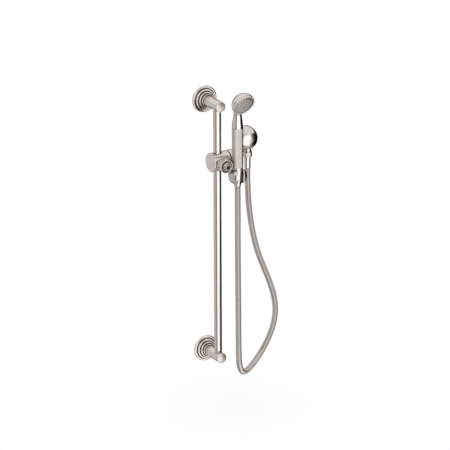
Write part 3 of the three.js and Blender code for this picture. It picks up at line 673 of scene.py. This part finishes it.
barrel = turned(
    "slider_barrel",
    [
        (0, BARREL_LEFT), (BARREL_RADIUS, BARREL_LEFT), (BARREL_RADIUS, BARREL_RIGHT),
        (0, BARREL_RIGHT),
    ],
    slider_middle @ TO_THE_RIGHT, edge=1.5, segments=160,
)
bush_way = turned(
    "bush_way",
    [(0, -CUT_REACH), (BUSH_BORE, -CUT_REACH), (BUSH_BORE, CUT_REACH), (0, CUT_REACH)],
    slider_middle, edge=0,
)
pad_way = turned(
    "pad_way",
    [
        (0, 0), (CLAMP_BORE, 0), (CLAMP_BORE, CLAMP_DEPTH), (STUD_BORE, CLAMP_DEPTH),
        (STUD_BORE, CUT_REACH), (0, CUT_REACH),
    ],
    slider_middle @ OUT_OF_WALL, edge=0,
)
barrel = fused([barrel], [bush_way, pad_way], BARREL_VOXEL, 4)
barrel_nickel = nickel_finish("barrel_nickel", NICKEL, 0.22, 0.008 * MM, lines=2200)
fit_piece(barrel, "slider_body", "slider", barrel_nickel)

washer = turned(
    "swivel_disc",
    [
        (BOLT_BORE, WASHER_LEFT), (WASHER_RADIUS, WASHER_LEFT),
        (WASHER_RADIUS, WASHER_RIGHT), (BOLT_BORE, WASHER_RIGHT),
    ],
    slider_middle @ TO_THE_RIGHT,
)
fit_piece(washer, "swivel_washer", "slider", acetal)
dress("swivel_bolt", steel)
dress("swivel_spring_washer", steel)

# ---- Handset holder -----------------------------------------------------------
# One casting: a hub that tilts on the swivel bolt, a short neck, and a ball cup with
# a tapered seat for the hose nut and a slot in front for the hose. A disc covers the
# bolt.

HUB_LEFT = 26.8
HUB_RIGHT = 40
CAP_SEAT = 13.7
CUP_RADIUS = 21
CUP_RIM = 14.3
CUP_FOOT = -18
CUP_SLOT = 15.6
SEAT_TOP = 12.8
SEAT_FOOT = 8.4
NUT_LENGTH = 40
NECK_ROD = 6.4

grip_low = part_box("grip_sleeve")[0]
handset_foot = Vector((middle_of("grip_sleeve").x, middle_of("grip_sleeve").y, grip_low.z))
holder_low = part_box("handset_holder")[0]
cup_middle = Vector((handset_foot.x, handset_foot.y, holder_low.z - CUP_FOOT * MM))

hub = turned(
    "holder_casting",
    [
        (0, HUB_LEFT), (BARREL_RADIUS, HUB_LEFT), (BARREL_RADIUS, HUB_RIGHT),
        (CAP_SEAT, HUB_RIGHT), (CAP_SEAT, HUB_RIGHT - 1.7), (0, HUB_RIGHT - 1.7),
    ],
    slider_middle @ TO_THE_RIGHT, edge=0.9, segments=160,
)
hub_middle = slider_middle.translation + Vector(((HUB_LEFT + HUB_RIGHT) / 2 * MM, 0, 0))
to_cup = cup_middle - hub_middle
to_cup.x = 0
neck_rod = turned(
    "neck_rod",
    [
        (0, BARREL_RADIUS - 5), (NECK_ROD, BARREL_RADIUS - 5),
        (NECK_ROD, to_cup.length / MM - CUP_RADIUS + 6), (0, to_cup.length / MM - CUP_RADIUS + 6),
    ],
    Matrix.Translation(hub_middle) @ to_cup.to_track_quat("Z", "X").to_matrix().to_4x4(), edge=0,
)
ball_profile = [(0, CUP_FOOT)]
for i in range(41):
    height = CUP_FOOT + (CUP_RIM - CUP_FOOT) * i / 40
    ball_profile.append(((CUP_RADIUS**2 - height**2) ** 0.5, height))
ball_profile.append((0, CUP_RIM))
cup_place = Matrix.Translation(cup_middle)
ball = turned("cup_ball", ball_profile, cup_place, edge=0.5, segments=128)
seat_height = (handset_foot.z - cup_middle.z) / MM
slope = (SEAT_TOP - SEAT_FOOT) / NUT_LENGTH
seat = turned(
    "nut_seat",
    [
        (0, seat_height - NUT_LENGTH - 5), (SEAT_FOOT - 5 * slope, seat_height - NUT_LENGTH - 5),
        (SEAT_TOP + 5 * slope, seat_height + 5), (0, seat_height + 5),
    ],
    cup_place, edge=0,
)
slot_shape = bmesh.new()
bmesh.ops.create_cube(
    slot_shape, size=1,
    matrix=Matrix.Translation((0, -CUT_REACH * MM, 0))
    @ Matrix.Diagonal((CUP_SLOT * MM, 2 * CUT_REACH * MM, 2 * CUT_REACH * MM, 1)),
)
slot_mesh = bpy.data.meshes.new("hose_slot")
slot_shape.to_mesh(slot_mesh)
slot_shape.free()
hose_slot = bpy.data.objects.new("hose_slot", slot_mesh)
hose_slot.matrix_world = cup_place
bpy.context.scene.collection.objects.link(hose_slot)
casting = fused([hub, neck_rod, ball], [seat, hose_slot], BARREL_VOXEL, 6)
fit_piece(casting, "handset_holder", "holder", barrel_nickel)

hub_cap = turned(
    "hub_disc", [(0, 38.6), (13.4, 38.6), (13.4, 40.3), (12, 41.5), (0, 41.5)],
    slider_middle @ TO_THE_RIGHT, edge=0.7, segments=128,
)
fit_piece(hub_cap, "holder_cap", "holder", cap_nickel)

# ---- Clamp knob ---------------------------------------------------------------
# A plated brass knob with twelve scooped flutes, a bead round its face and a boss.
# A socket screw ties it to the steel stud that presses the acetal pad on the bar.

KNOB_BACK = 23.3
KNOB_RADIUS = 15.4
KNOB_FLUTES = 12
FLUTE_DEPTH = 1.7
FLUTE_END = 39.2
BOSS_RADIUS = 9.6
BOSS_FRONT = 50


def eased(value, low, high):
    """0 below low, 1 above high, with a smooth climb between."""
    t = max(0.0, min(1.0, (value - low) / (high - low)))
    return t * t * (3 - 2 * t)


def knob_flutes(radius, height, angle):
    if radius < KNOB_RADIUS - 1.5 or height > FLUTE_END:
        return radius
    fade = eased(height, KNOB_BACK - 0.2, KNOB_BACK + 1) * (1 - eased(height, 36.6, FLUTE_END))
    return radius - FLUTE_DEPTH * fade * abs(sin(KNOB_FLUTES * angle / 2)) ** 1.4


bright_nickel = nickel_finish("bright_nickel", (0.64, 0.59, 0.56), 0.1, 0.003 * MM, mottle=0.03)
# The knob's flutes and recess take more of the painted shade.
knob_nickel = nickel_finish(
    "knob_nickel", (0.52, 0.47, 0.44), 0.1, 0.003 * MM, mottle=0.03, open_from=0.5, open_to=0.95,
)
knob_sides = [(KNOB_RADIUS, KNOB_BACK + 16 * i / 24) for i in range(25)]
knob = turned(
    "fluted_knob",
    [
        (STUD_BORE, KNOB_BACK), *knob_sides, (15.3, 39.5), (16, 39.6), (16, 41.6), (13.8, 41.6),
        (13.4, 36.5), (BOSS_RADIUS + 0.4, 36.5), (BOSS_RADIUS, 43), (7.4, 45.5),
        (7.2, BOSS_FRONT), (5.4, BOSS_FRONT), (5.4, 45), (STUD_BORE, 45),
    ],
    slider_middle @ OUT_OF_WALL, edge=1, segments=288, carve=knob_flutes,
)
fit_piece(knob, "clamp_knob", "knob", knob_nickel)

SCREW_RADIUS = 5.1
SCREW_SEAT = 45.3
SCREW_TOP = 48.8
SOCKET_RADIUS = 2.5


def hex_socket(radius, height, angle):
    if radius > SOCKET_RADIUS + 0.1:
        return radius
    return radius * cos(pi / 6) / cos((angle % (pi / 3)) - pi / 6)


dark_steel = plain_finish("dark_steel", (0.06, 0.055, 0.052), 0.42, 1, 3500, 0.01 * MM)
screw = turned(
    "knob_socket_screw",
    [
        (0, SCREW_TOP - 2.2), (SOCKET_RADIUS, SCREW_TOP - 2.2), (SOCKET_RADIUS, SCREW_TOP),
        (SCREW_RADIUS, SCREW_TOP), (SCREW_RADIUS, SCREW_SEAT), (0, SCREW_SEAT),
    ],
    slider_middle @ OUT_OF_WALL, edge=0.5, segments=72, carve=hex_socket,
)
fit_piece(screw, "knob_screw", "knob", dark_steel)
dress("knob_stud", steel)
dress("clamp_pad", acetal)

# ---- Grip sleeve --------------------------------------------------------------
# A plated brass sleeve with fine ribs rolled along it, which keep a wet hand from
# slipping. It slides over the handset's water tube.

GRIP_RADIUS = 12.8
GRIP_BORE = 10.6
GRIP_LENGTH = 94.3
GRIP_RIBS = 40
RIB_DEPTH = 0.35


def joint_named(name):
    return next(joint for joint in frame["joints"] if joint["name"] == name)


def grip_ribs(radius, height, angle):
    if radius < GRIP_RADIUS - 0.6:
        return radius
    fade = eased(height, 0.4, 2) * (1 - eased(height, GRIP_LENGTH - 2, GRIP_LENGTH - 0.4))
    return radius - RIB_DEPTH * fade * (1 - cos(GRIP_RIBS * angle)) / 2


spray_axis = Vector(joint_named("spray_select")["axis"])
handset_turn = atan2(spray_axis.x, -spray_axis.y)
handset_place = Matrix.Translation(handset_foot) @ Matrix.Rotation(handset_turn, 4, "Z")
grip_nickel = nickel_finish("grip_nickel", (0.56, 0.515, 0.485), 0.25, 0.006 * MM, lines=3000)
grip_sides = [(GRIP_RADIUS, h) for h in (0, 0.4, 1.2, 2, 30, 60, 92.3, 93.1, 93.9, GRIP_LENGTH)]
grip = turned(
    "ribbed_grip", [(GRIP_BORE, 0), *grip_sides, (GRIP_BORE, GRIP_LENGTH)],
    handset_place, edge=0.2, segments=400, carve=grip_ribs,
)
fit_piece(grip, "grip_sleeve", "handset", grip_nickel)

# ---- Handset core -------------------------------------------------------------
# The brass water tube runs from the hose thread to the neck, with an acetal check
# valve in its foot and a rubber washer under it.

dress("water_tube", brass)
dress("handset_check_valve", acetal)
rubber = plain_finish("rubber", (0.035, 0.034, 0.034), 0.65, 0, 2400, 0.02 * MM, shade=0.2)
dress("handset_hose_washer", rubber)

# ---- Neck cone and collar -----------------------------------------------------
# A bright-plated cone that narrows from the grip and leans forward to the head, and a
# beaded collar pressed round the head's stub above it.

NECK_FOOT = 94.6
NECK_TOP = 125.6
NECK_TOP_RADIUS = 9.1
NECK_LEAN = 0.8
NECK_BORE = 6.3
TUBE_TOP = 100.1
COLLAR_FOOT = 125.9
COLLAR_TOP = 130.3
COLLAR_RADIUS = 9.9


def neck_lean(height):
    t = max(0, min(1, (height - TUBE_TOP) / (NECK_TOP - TUBE_TOP)))
    return NECK_LEAN * (t * t * (3 - 2 * t) + t * t) / 2


neck_outside = []
for i in range(31):
    t = i / 30
    radius = GRIP_RADIUS + (NECK_TOP_RADIUS - GRIP_RADIUS) * t**1.15
    neck_outside.append((radius, NECK_FOOT + (NECK_TOP - NECK_FOOT) * t))
neck_cone = turned(
    "neck_shell",
    [
        (GRIP_BORE, NECK_FOOT), *neck_outside, (NECK_BORE, NECK_TOP), (NECK_BORE, TUBE_TOP),
        (GRIP_BORE, TUBE_TOP),
    ],
    handset_place, edge=0.35, segments=160, lean=neck_lean,
)
fit_piece(neck_cone, "neck_cone", "handset", bright_nickel)

bead = []
for i in range(17):
    angle = -pi / 2 + pi * i / 16
    middle = (COLLAR_FOOT + COLLAR_TOP) / 2
    half = (COLLAR_TOP - COLLAR_FOOT) / 2
    bead.append((COLLAR_RADIUS - 1.6 + 1.6 * cos(angle), middle + half * sin(angle)))
collar = turned(
    "neck_bead", [(7.9, COLLAR_FOOT), *bead, (7.9, COLLAR_TOP)],
    handset_place @ Matrix.Translation((0, -NECK_LEAN * MM, 0)), edge=0.2, segments=128,
)
fit_piece(collar, "neck_collar", "handset", bright_nickel)

# ---- Head shell ---------------------------------------------------------------
# A spun dome with a stub that stands on the neck, brushed and plated. The diverter
# disc and its rubber seal sit inside its mouth.

HEAD_RADIUS = 27
HEAD_DEPTH = 22.5
HEAD_WALL = 2
SHELL_VOXEL = 0.4
RIM_BACK = 4
STUB_RADIUS = 7.6

face_middle = Vector(joint_named("spray_select")["pos_m"])
face_side = Matrix.Rotation(handset_turn, 3, "Z") @ Vector((1, 0, 0))
face_place = Matrix.Translation(face_middle) @ Matrix(
    (face_side, spray_axis.cross(face_side), spray_axis)
).transposed().to_4x4()


def dome_line(radius, depth, back):
    """A quarter of an ellipse, from its rim to the pole behind it."""
    return [
        (radius * cos(i / 32 * pi / 2) if i < 32 else 0, -back - depth * sin(i / 32 * pi / 2))
        for i in range(33)
    ]


shell_outside = dome_line(HEAD_RADIUS, HEAD_DEPTH, RIM_BACK)
shell_inside = dome_line(HEAD_RADIUS - HEAD_WALL, HEAD_DEPTH - HEAD_WALL, RIM_BACK)
head = turned("head_dome", [(0, -RIM_BACK), *shell_outside], face_place, edge=0.3, segments=160)
hollow = turned(
    "head_hollow", [(0, 1), (HEAD_RADIUS - HEAD_WALL, 1), *shell_inside], face_place, edge=0.1,
)
stub = turned(
    "head_stub", [(0, COLLAR_FOOT), (STUB_RADIUS, COLLAR_FOOT), (STUB_RADIUS, 142), (0, 142)],
    handset_place @ Matrix.Translation((0, -NECK_LEAN * MM, 0)), edge=0.2,
)
head = fused([head, stub], [hollow], SHELL_VOXEL, 5)
head_nickel = nickel_finish("head_nickel", (0.61, 0.56, 0.53), 0.18, 0.006 * MM, lines=2600)
fit_piece(head, "head_shell", "handset", head_nickel)
dress("diverter_disc", acetal)
dress("head_seal", rubber)

# ---- Spray face ---------------------------------------------------------------
# A plated ring, notched for wet fingers, turns the moulded plate to choose the spray.
# Soft nozzles stand through the plate's holes, and a screw in the middle holds it.

RING_BACK = -3.4
RING_FRONT = 1
RING_BORE = 22.8
RING_NOTCHES = 20
NOTCH_DEPTH = 1
PLATE_RADIUS = 22.5
PLATE_BACK = -2.4
PLATE_CROWN = 2.3
SPRAY_RINGS = [(8, 7.85), (16, 15.7)]
HOLE_RADIUS = 1.2
NOZZLE_RADIUS = 0.85
NOZZLE_TIP = 3
FACE_SOCKET = 1.1


def ring_notches(radius, height, angle):
    if radius < HEAD_RADIUS - 1.2:
        return radius
    scoop = max(0.0, 1 - abs(sin(RING_NOTCHES * angle / 2)) / 0.62)
    return radius - NOTCH_DEPTH * scoop * (2 - scoop) * eased(height, -2.6, -1.4)


ring_sides = [(HEAD_RADIUS, RING_BACK + 4.4 * i / 12) for i in range(13)]
spray_ring = turned(
    "notched_ring", [(RING_BORE, RING_BACK), *ring_sides, (RING_BORE, RING_FRONT)],
    face_place, edge=0.5, segments=400, carve=ring_notches,
)
fit_piece(spray_ring, "spray_ring", "face", head_nickel)

holes = []
for count, reach in SPRAY_RINGS:
    for i in range(count):
        angle = 2 * pi * (i + (0.5 if reach > 10 else 0)) / count
        holes.append(Vector((reach * cos(angle) * MM, reach * sin(angle) * MM, 0)))


def joined(name, pieces):
    """Several loose shapes as one piece."""
    whole = pieces[0]
    shape = bmesh.new()
    for piece in pieces:
        piece.data.transform(whole.matrix_world.inverted() @ piece.matrix_world)
        shape.from_mesh(piece.data)
    mesh = bpy.data.meshes.new(name)
    shape.to_mesh(mesh)
    shape.free()
    mesh.shade_smooth()
    mesh.set_sharp_from_angle(angle=radians(38))
    whole.data = mesh
    whole.name = name
    for piece in pieces[1:]:
        bpy.data.objects.remove(piece)
    return whole


face_nickel = nickel_finish("face_nickel", (0.585, 0.54, 0.505), 0.24, 0.005 * MM, lines=1500)
plate = turned(
    "spray_face_plate",
    [
        (1.9, PLATE_BACK), (PLATE_RADIUS, PLATE_BACK), (PLATE_RADIUS, 0.6), (21.5, 1),
        (16, 1.6), (11, 2.04), (6, 2.25), (3.4, PLATE_CROWN), (3.4, 0.6), (1.9, 0.6),
    ],
    face_place, edge=0.3, segments=128,
)
drills = joined("drills", [
    turned(
        "drill", [(0, -5), (HOLE_RADIUS, -5), (HOLE_RADIUS, 6), (0, 6)],
        face_place @ Matrix.Translation(hole), edge=0, segments=20,
    )
    for hole in holes
])
drilled = plate.modifiers.new("drilled", "BOOLEAN")
drilled.operation = "DIFFERENCE"
drilled.solver = "EXACT"
drilled.object = drills
bpy.context.view_layer.update()
plate_made = plate.evaluated_get(bpy.context.evaluated_depsgraph_get())
plate_mesh = bpy.data.meshes.new_from_object(plate_made)
plate.modifiers.clear()
plate.data = plate_mesh
plate_mesh.set_sharp_from_angle(angle=radians(30))
bpy.data.objects.remove(drills)
fit_piece(plate, "spray_plate", "face", face_nickel)

mat = turned(
    "mat", [(1.9, -4.7), (21, -4.7), (21, -2.7), (1.9, -2.7)], face_place, edge=0.2,
)
nozzles = [
    turned(
        "nozzle",
        [
            (0, -4), (NOZZLE_RADIUS, -4), (NOZZLE_RADIUS, NOZZLE_TIP), (0.3, NOZZLE_TIP),
            (0.25, NOZZLE_TIP - 0.6), (0, NOZZLE_TIP - 0.6),
        ],
        face_place @ Matrix.Translation(hole), edge=0.15, segments=20,
    )
    for hole in holes
]
nozzle_rubber = plain_finish("nozzle_rubber", (0.66, 0.64, 0.62), 0.5, 0, 2400, 0.01 * MM)
fit_piece(joined("nozzles", [mat, *nozzles]), "nozzle_mat", "face", nozzle_rubber)


def face_socket(radius, height, angle):
    return hex_socket(radius, height, angle) if radius < FACE_SOCKET + 0.2 else radius


face_bolt = turned(
    "face_bolt",
    [
        (0, 1.4), (FACE_SOCKET, 1.4), (FACE_SOCKET, 2.25), (2.4, 2.2), (3.1, 1.7),
        (3.1, 0.9), (1.6, 0.9), (1.6, -11.1), (0, -11.1),
    ],
    face_place, edge=0.2, segments=72,
    carve=face_socket,
)
fit_piece(face_bolt, "face_screw", "face", bright_nickel)

# ---- Hose nut and hose end at the handset -------------------------------------
# A long tapered nut, plated bright, that seats in the holder's cup. The hose's own end
# turns inside it and is crimped on the hose just below.

NUT_TOP = -0.3
NUT_FOOT = -40.3
NUT_TOP_RADIUS = 12.4
NUT_FOOT_RADIUS = 8
SPIGOT_BORE = 9.5
STEM_BORE = 6.5
END_FLANGE_TOP = -14.3
END_FLANGE_FOOT = -16.7
CRIMP_TOP = -40.6
CRIMP_FOOT = -44.6
CRIMP_RADIUS = 7.5
END_BORE = 4.4

nut = turned(
    "tapered_nut",
    [
        (SPIGOT_BORE, NUT_TOP), (NUT_TOP_RADIUS, NUT_TOP), (12.1, -3), (11.2, -3.4),
        (11.2, -4.2), (12, -4.6), (NUT_FOOT_RADIUS, NUT_FOOT),
        (STEM_BORE, NUT_FOOT), (STEM_BORE, END_FLANGE_FOOT - 0.3),
        (SPIGOT_BORE, END_FLANGE_FOOT - 0.3),
    ],
    handset_place, edge=0.6, segments=128,
)
fit_piece(nut, "handset_hose_nut", "handset", bright_nickel)


def hose_fitting(name, place, flange_top, crimp_top, crimp_foot, grooves):
    """A flanged stem and the sleeve that is crimped in rings on the hose."""
    flange_foot = flange_top - 2.4
    sleeve = [(CRIMP_RADIUS, crimp_top)]
    pitch = (crimp_top - crimp_foot) / (grooves + 1)
    for i in range(grooves):
        at = crimp_top - pitch * (i + 1)
        sleeve += [(CRIMP_RADIUS, at + 0.6), (CRIMP_RADIUS - 0.4, at), (CRIMP_RADIUS, at - 0.6)]
    sleeve.append((CRIMP_RADIUS, crimp_foot))
    return turned(
        name,
        [
            (END_BORE, flange_top), (8.8, flange_top), (8.8, flange_foot), (6.2, flange_foot),
            (6.2, crimp_top), *sleeve, (END_BORE, crimp_foot),
        ],
        place, edge=0.35, segments=112,
    )


hose_fitting_top = hose_fitting(
    "crimped_end", handset_place, END_FLANGE_TOP, CRIMP_TOP, CRIMP_FOOT, 1,
)
fit_piece(hose_fitting_top, "handset_hose_end", "hose_end", satin_nickel)

# ---- Supply elbow -------------------------------------------------------------
# A plated brass elbow in the wall feeds the hose. A spun dome covers it, with a rubber
# ring against the wall and a hole beneath for the spigot.

DOME_RADIUS = 28.5
DOME_FRONT = 30
DOME_BACK = 1.5
DOME_WALL = 1.8
DOME_ROUNDNESS = 2.6
SPIGOT_OFFSET = 14.5
SPIGOT_RADIUS = 9


def full_line(radius, height, roundness, back):
    """A quarter of a full-shouldered dome, from its rim to the pole in front of it."""
    power = 2 / roundness
    line = []
    for i in range(37):
        angle = i / 36 * pi / 2
        reach = radius * cos(angle) ** power if i < 36 else 0
        line.append((reach, back + height * sin(angle) ** power))
    return line


dome_height = DOME_FRONT - DOME_BACK
dome_place = on_wall("elbow_dome")
dome = turned(
    "elbow_cover",
    [(0, DOME_BACK), *full_line(DOME_RADIUS, dome_height, DOME_ROUNDNESS, DOME_BACK)],
    dome_place, edge=0.3, segments=160,
)
dome_hollow = turned(
    "dome_hollow",
    [
        (0, 0),
        (DOME_RADIUS - DOME_WALL, 0),
        *full_line(DOME_RADIUS - DOME_WALL, dome_height - DOME_WALL, DOME_ROUNDNESS, DOME_BACK),
    ],
    dome_place, edge=0.1,
)
spigot_way = turned(
    "spigot_way",
    [(0, -40), (SPIGOT_RADIUS + 0.4, -40), (SPIGOT_RADIUS + 0.4, 0), (0, 0)],
    Matrix.Translation(dome_place.translation - Vector((0, SPIGOT_OFFSET * MM, 0))), edge=0,
)
dome = fused([dome], [dome_hollow, spigot_way], SHELL_VOXEL, 5)
fit_piece(dome, "elbow_dome", "wall_rail", satin_nickel)
dress("elbow_body", satin_nickel)
dress("elbow_check_valve", acetal)

gasket = turned(
    "wall_ring", [(25.5, 0), (28.5, 0), (28.5, 1.2), (25.5, 1.2)], dome_place, edge=0.35,
    segments=128,
)
fit_piece(gasket, "elbow_wall_gasket", "wall_rail", rubber)

# ---- Supply nut and hose end --------------------------------------------------
# A knurled nut pulls the hose's flanged end up against a rubber washer on the spigot.
# A long sleeve below it is crimped on the hose.

SUPPLY_RADIUS = 10.8
SUPPLY_FACETS = 24
SUPPLY_KNURL = 0.35
SUPPLY_TOP = -29.2
SUPPLY_FOOT = -41.8
SUPPLY_FLANGE_TOP = -35
SLEEVE_TOP = -42.1
SLEEVE_FOOT = -68.6

spigot_place = Matrix.Translation(dome_place.translation - Vector((0, SPIGOT_OFFSET * MM, 0)))
dress("supply_hose_washer", rubber)


def supply_knurl(radius, height, angle):
    if radius < SUPPLY_RADIUS - 0.7:
        return radius
    fade = eased(height, SUPPLY_FOOT + 1, SUPPLY_FOOT + 2.2)
    fade *= 1 - eased(height, SUPPLY_TOP - 2.2, SUPPLY_TOP - 1)
    return radius - SUPPLY_KNURL * fade * (1 - cos(SUPPLY_FACETS * angle)) / 2


nut_sides = [(SUPPLY_RADIUS, SUPPLY_FOOT + 12.6 * i / 14) for i in range(15)]
supply_nut = turned(
    "knurled_nut",
    [
        (STEM_BORE, SUPPLY_FOOT), *nut_sides, (SPIGOT_BORE, SUPPLY_TOP),
        (SPIGOT_BORE, SUPPLY_FLANGE_TOP - 2.7), (STEM_BORE, SUPPLY_FLANGE_TOP - 2.7),
    ],
    spigot_place, edge=0.6, segments=240, carve=supply_knurl,
)
fit_piece(supply_nut, "supply_hose_nut", "wall_rail", satin_nickel)

hose_fitting_foot = hose_fitting(
    "sleeved_end", spigot_place, SUPPLY_FLANGE_TOP, SLEEVE_TOP, SLEEVE_FOOT, 2,
)
fit_piece(hose_fitting_foot, "supply_hose_end", "wall_rail", bright_nickel)

# ---- Studio -------------------------------------------------------------------
# A pale floor far below the hanging kit. The light is even for matt things. Metal
# sees soft white panels with darker openings between them.

FLOOR_DROP = 0.09

floor_shape = bmesh.new()
bmesh.ops.create_grid(floor_shape, x_segments=2, y_segments=2, size=40)
floor_mesh = bpy.data.meshes.new("studio_floor")
floor_shape.to_mesh(floor_mesh)
floor_shape.free()
floor = bpy.data.objects.new("studio_floor", floor_mesh)
floor.location = (0, 0, cad_box[0].z - FLOOR_DROP)
bpy.context.scene.collection.objects.link(floor)
floor.visible_glossy = False
floor_paint = plain_finish("floor_paint", (0.95, 0.95, 0.95), 0.9, 0, 30, 0.01 * MM, shade=0.005)
floor_mesh.materials.append(floor_paint)

world = bpy.data.worlds.new("studio_light")
world.use_nodes = True
bpy.context.scene.world = world
nodes, links = world.node_tree.nodes, world.node_tree.links
nodes.clear()
toward = nodes.new("ShaderNodeTexCoord")


def reach_along(direction):
    """How far the light's direction points along a fixed one."""
    dot = nodes.new("ShaderNodeVectorMath")
    dot.operation = "DOT_PRODUCT"
    dot.inputs[1].default_value = direction
    links.new(toward.outputs["Generated"], dot.inputs[0])
    return dot.outputs["Value"]


PANEL_FRONT = Vector((-0.5128, -0.8585, 0))
PANEL_SIDE = Vector((0.8585, -0.5128, 0))
round_angle = nodes.new("ShaderNodeMath")
round_angle.operation = "ARCTAN2"
links.new(reach_along(PANEL_SIDE), round_angle.inputs[0])
links.new(reach_along(PANEL_FRONT), round_angle.inputs[1])
turn = nodes.new("ShaderNodeMapRange")
turn.inputs["From Min"].default_value = -pi
turn.inputs["From Max"].default_value = pi
links.new(round_angle.outputs[0], turn.inputs["Value"])

PANELS = [
    (-180, 0.03), (-165, 0.01), (-150, 0.06), (-132, 0.46), (-104, 0.46), (-70, 0.34),
    (-38, 0.34), (-31, 0.06), (-19, 0.06), (-10, 1.0), (56, 1.0), (70, 0.16), (86, 0.0),
    (160, 0.0), (180, 0.03),
]
bands = nodes.new("ShaderNodeValToRGB")
bands.color_ramp.interpolation = "EASE"
stops = bands.color_ramp.elements
for degrees, light in PANELS[1:-1]:
    stops.new((degrees + 180) / 360).color = (light, light, light, 1)
for stop, (degrees, light) in ((stops[0], PANELS[0]), (stops[-1], PANELS[-1])):
    stop.color = (light, light, light, 1)
links.new(turn.outputs["Result"], bands.inputs["Fac"])

rise = nodes.new("ShaderNodeMapRange")
rise.interpolation_type = "SMOOTHSTEP"
rise.inputs["From Min"].default_value = 0.2
rise.inputs["From Max"].default_value = 0.45
links.new(reach_along((0, 0, 1)), rise.inputs["Value"])
over = nodes.new("ShaderNodeMix")
over.data_type = "RGBA"
over.inputs["B"].default_value = (0.6, 0.6, 0.6, 1)
links.new(rise.outputs["Result"], over.inputs["Factor"])
links.new(bands.outputs["Color"], over.inputs["A"])

sinking = nodes.new("ShaderNodeMapRange")
sinking.interpolation_type = "SMOOTHSTEP"
sinking.inputs["From Min"].default_value = -0.62
sinking.inputs["From Max"].default_value = -0.85
links.new(reach_along((0, 0, 1)), sinking.inputs["Value"])
under = nodes.new("ShaderNodeMix")
under.data_type = "RGBA"
under.inputs["B"].default_value = (0.33, 0.33, 0.33, 1)
links.new(sinking.outputs["Result"], under.inputs["Factor"])
links.new(over.outputs["Result"], under.inputs["A"])

seen_in_metal = nodes.new("ShaderNodeBackground")
seen_in_metal.inputs["Strength"].default_value = 1.9
links.new(under.outputs["Result"], seen_in_metal.inputs["Color"])
even_light = nodes.new("ShaderNodeBackground")
even_light.inputs["Color"].default_value = (1, 1, 1, 1)
even_light.inputs["Strength"].default_value = 1.08
ray = nodes.new("ShaderNodeLightPath")
choose = nodes.new("ShaderNodeMixShader")
links.new(ray.outputs["Is Glossy Ray"], choose.inputs["Fac"])
links.new(even_light.outputs[0], choose.inputs[1])
links.new(seen_in_metal.outputs[0], choose.inputs[2])
output = nodes.new("ShaderNodeOutputWorld")
links.new(choose.outputs[0], output.inputs["Surface"])
bpy.context.scene.view_settings.view_transform = "Standard"
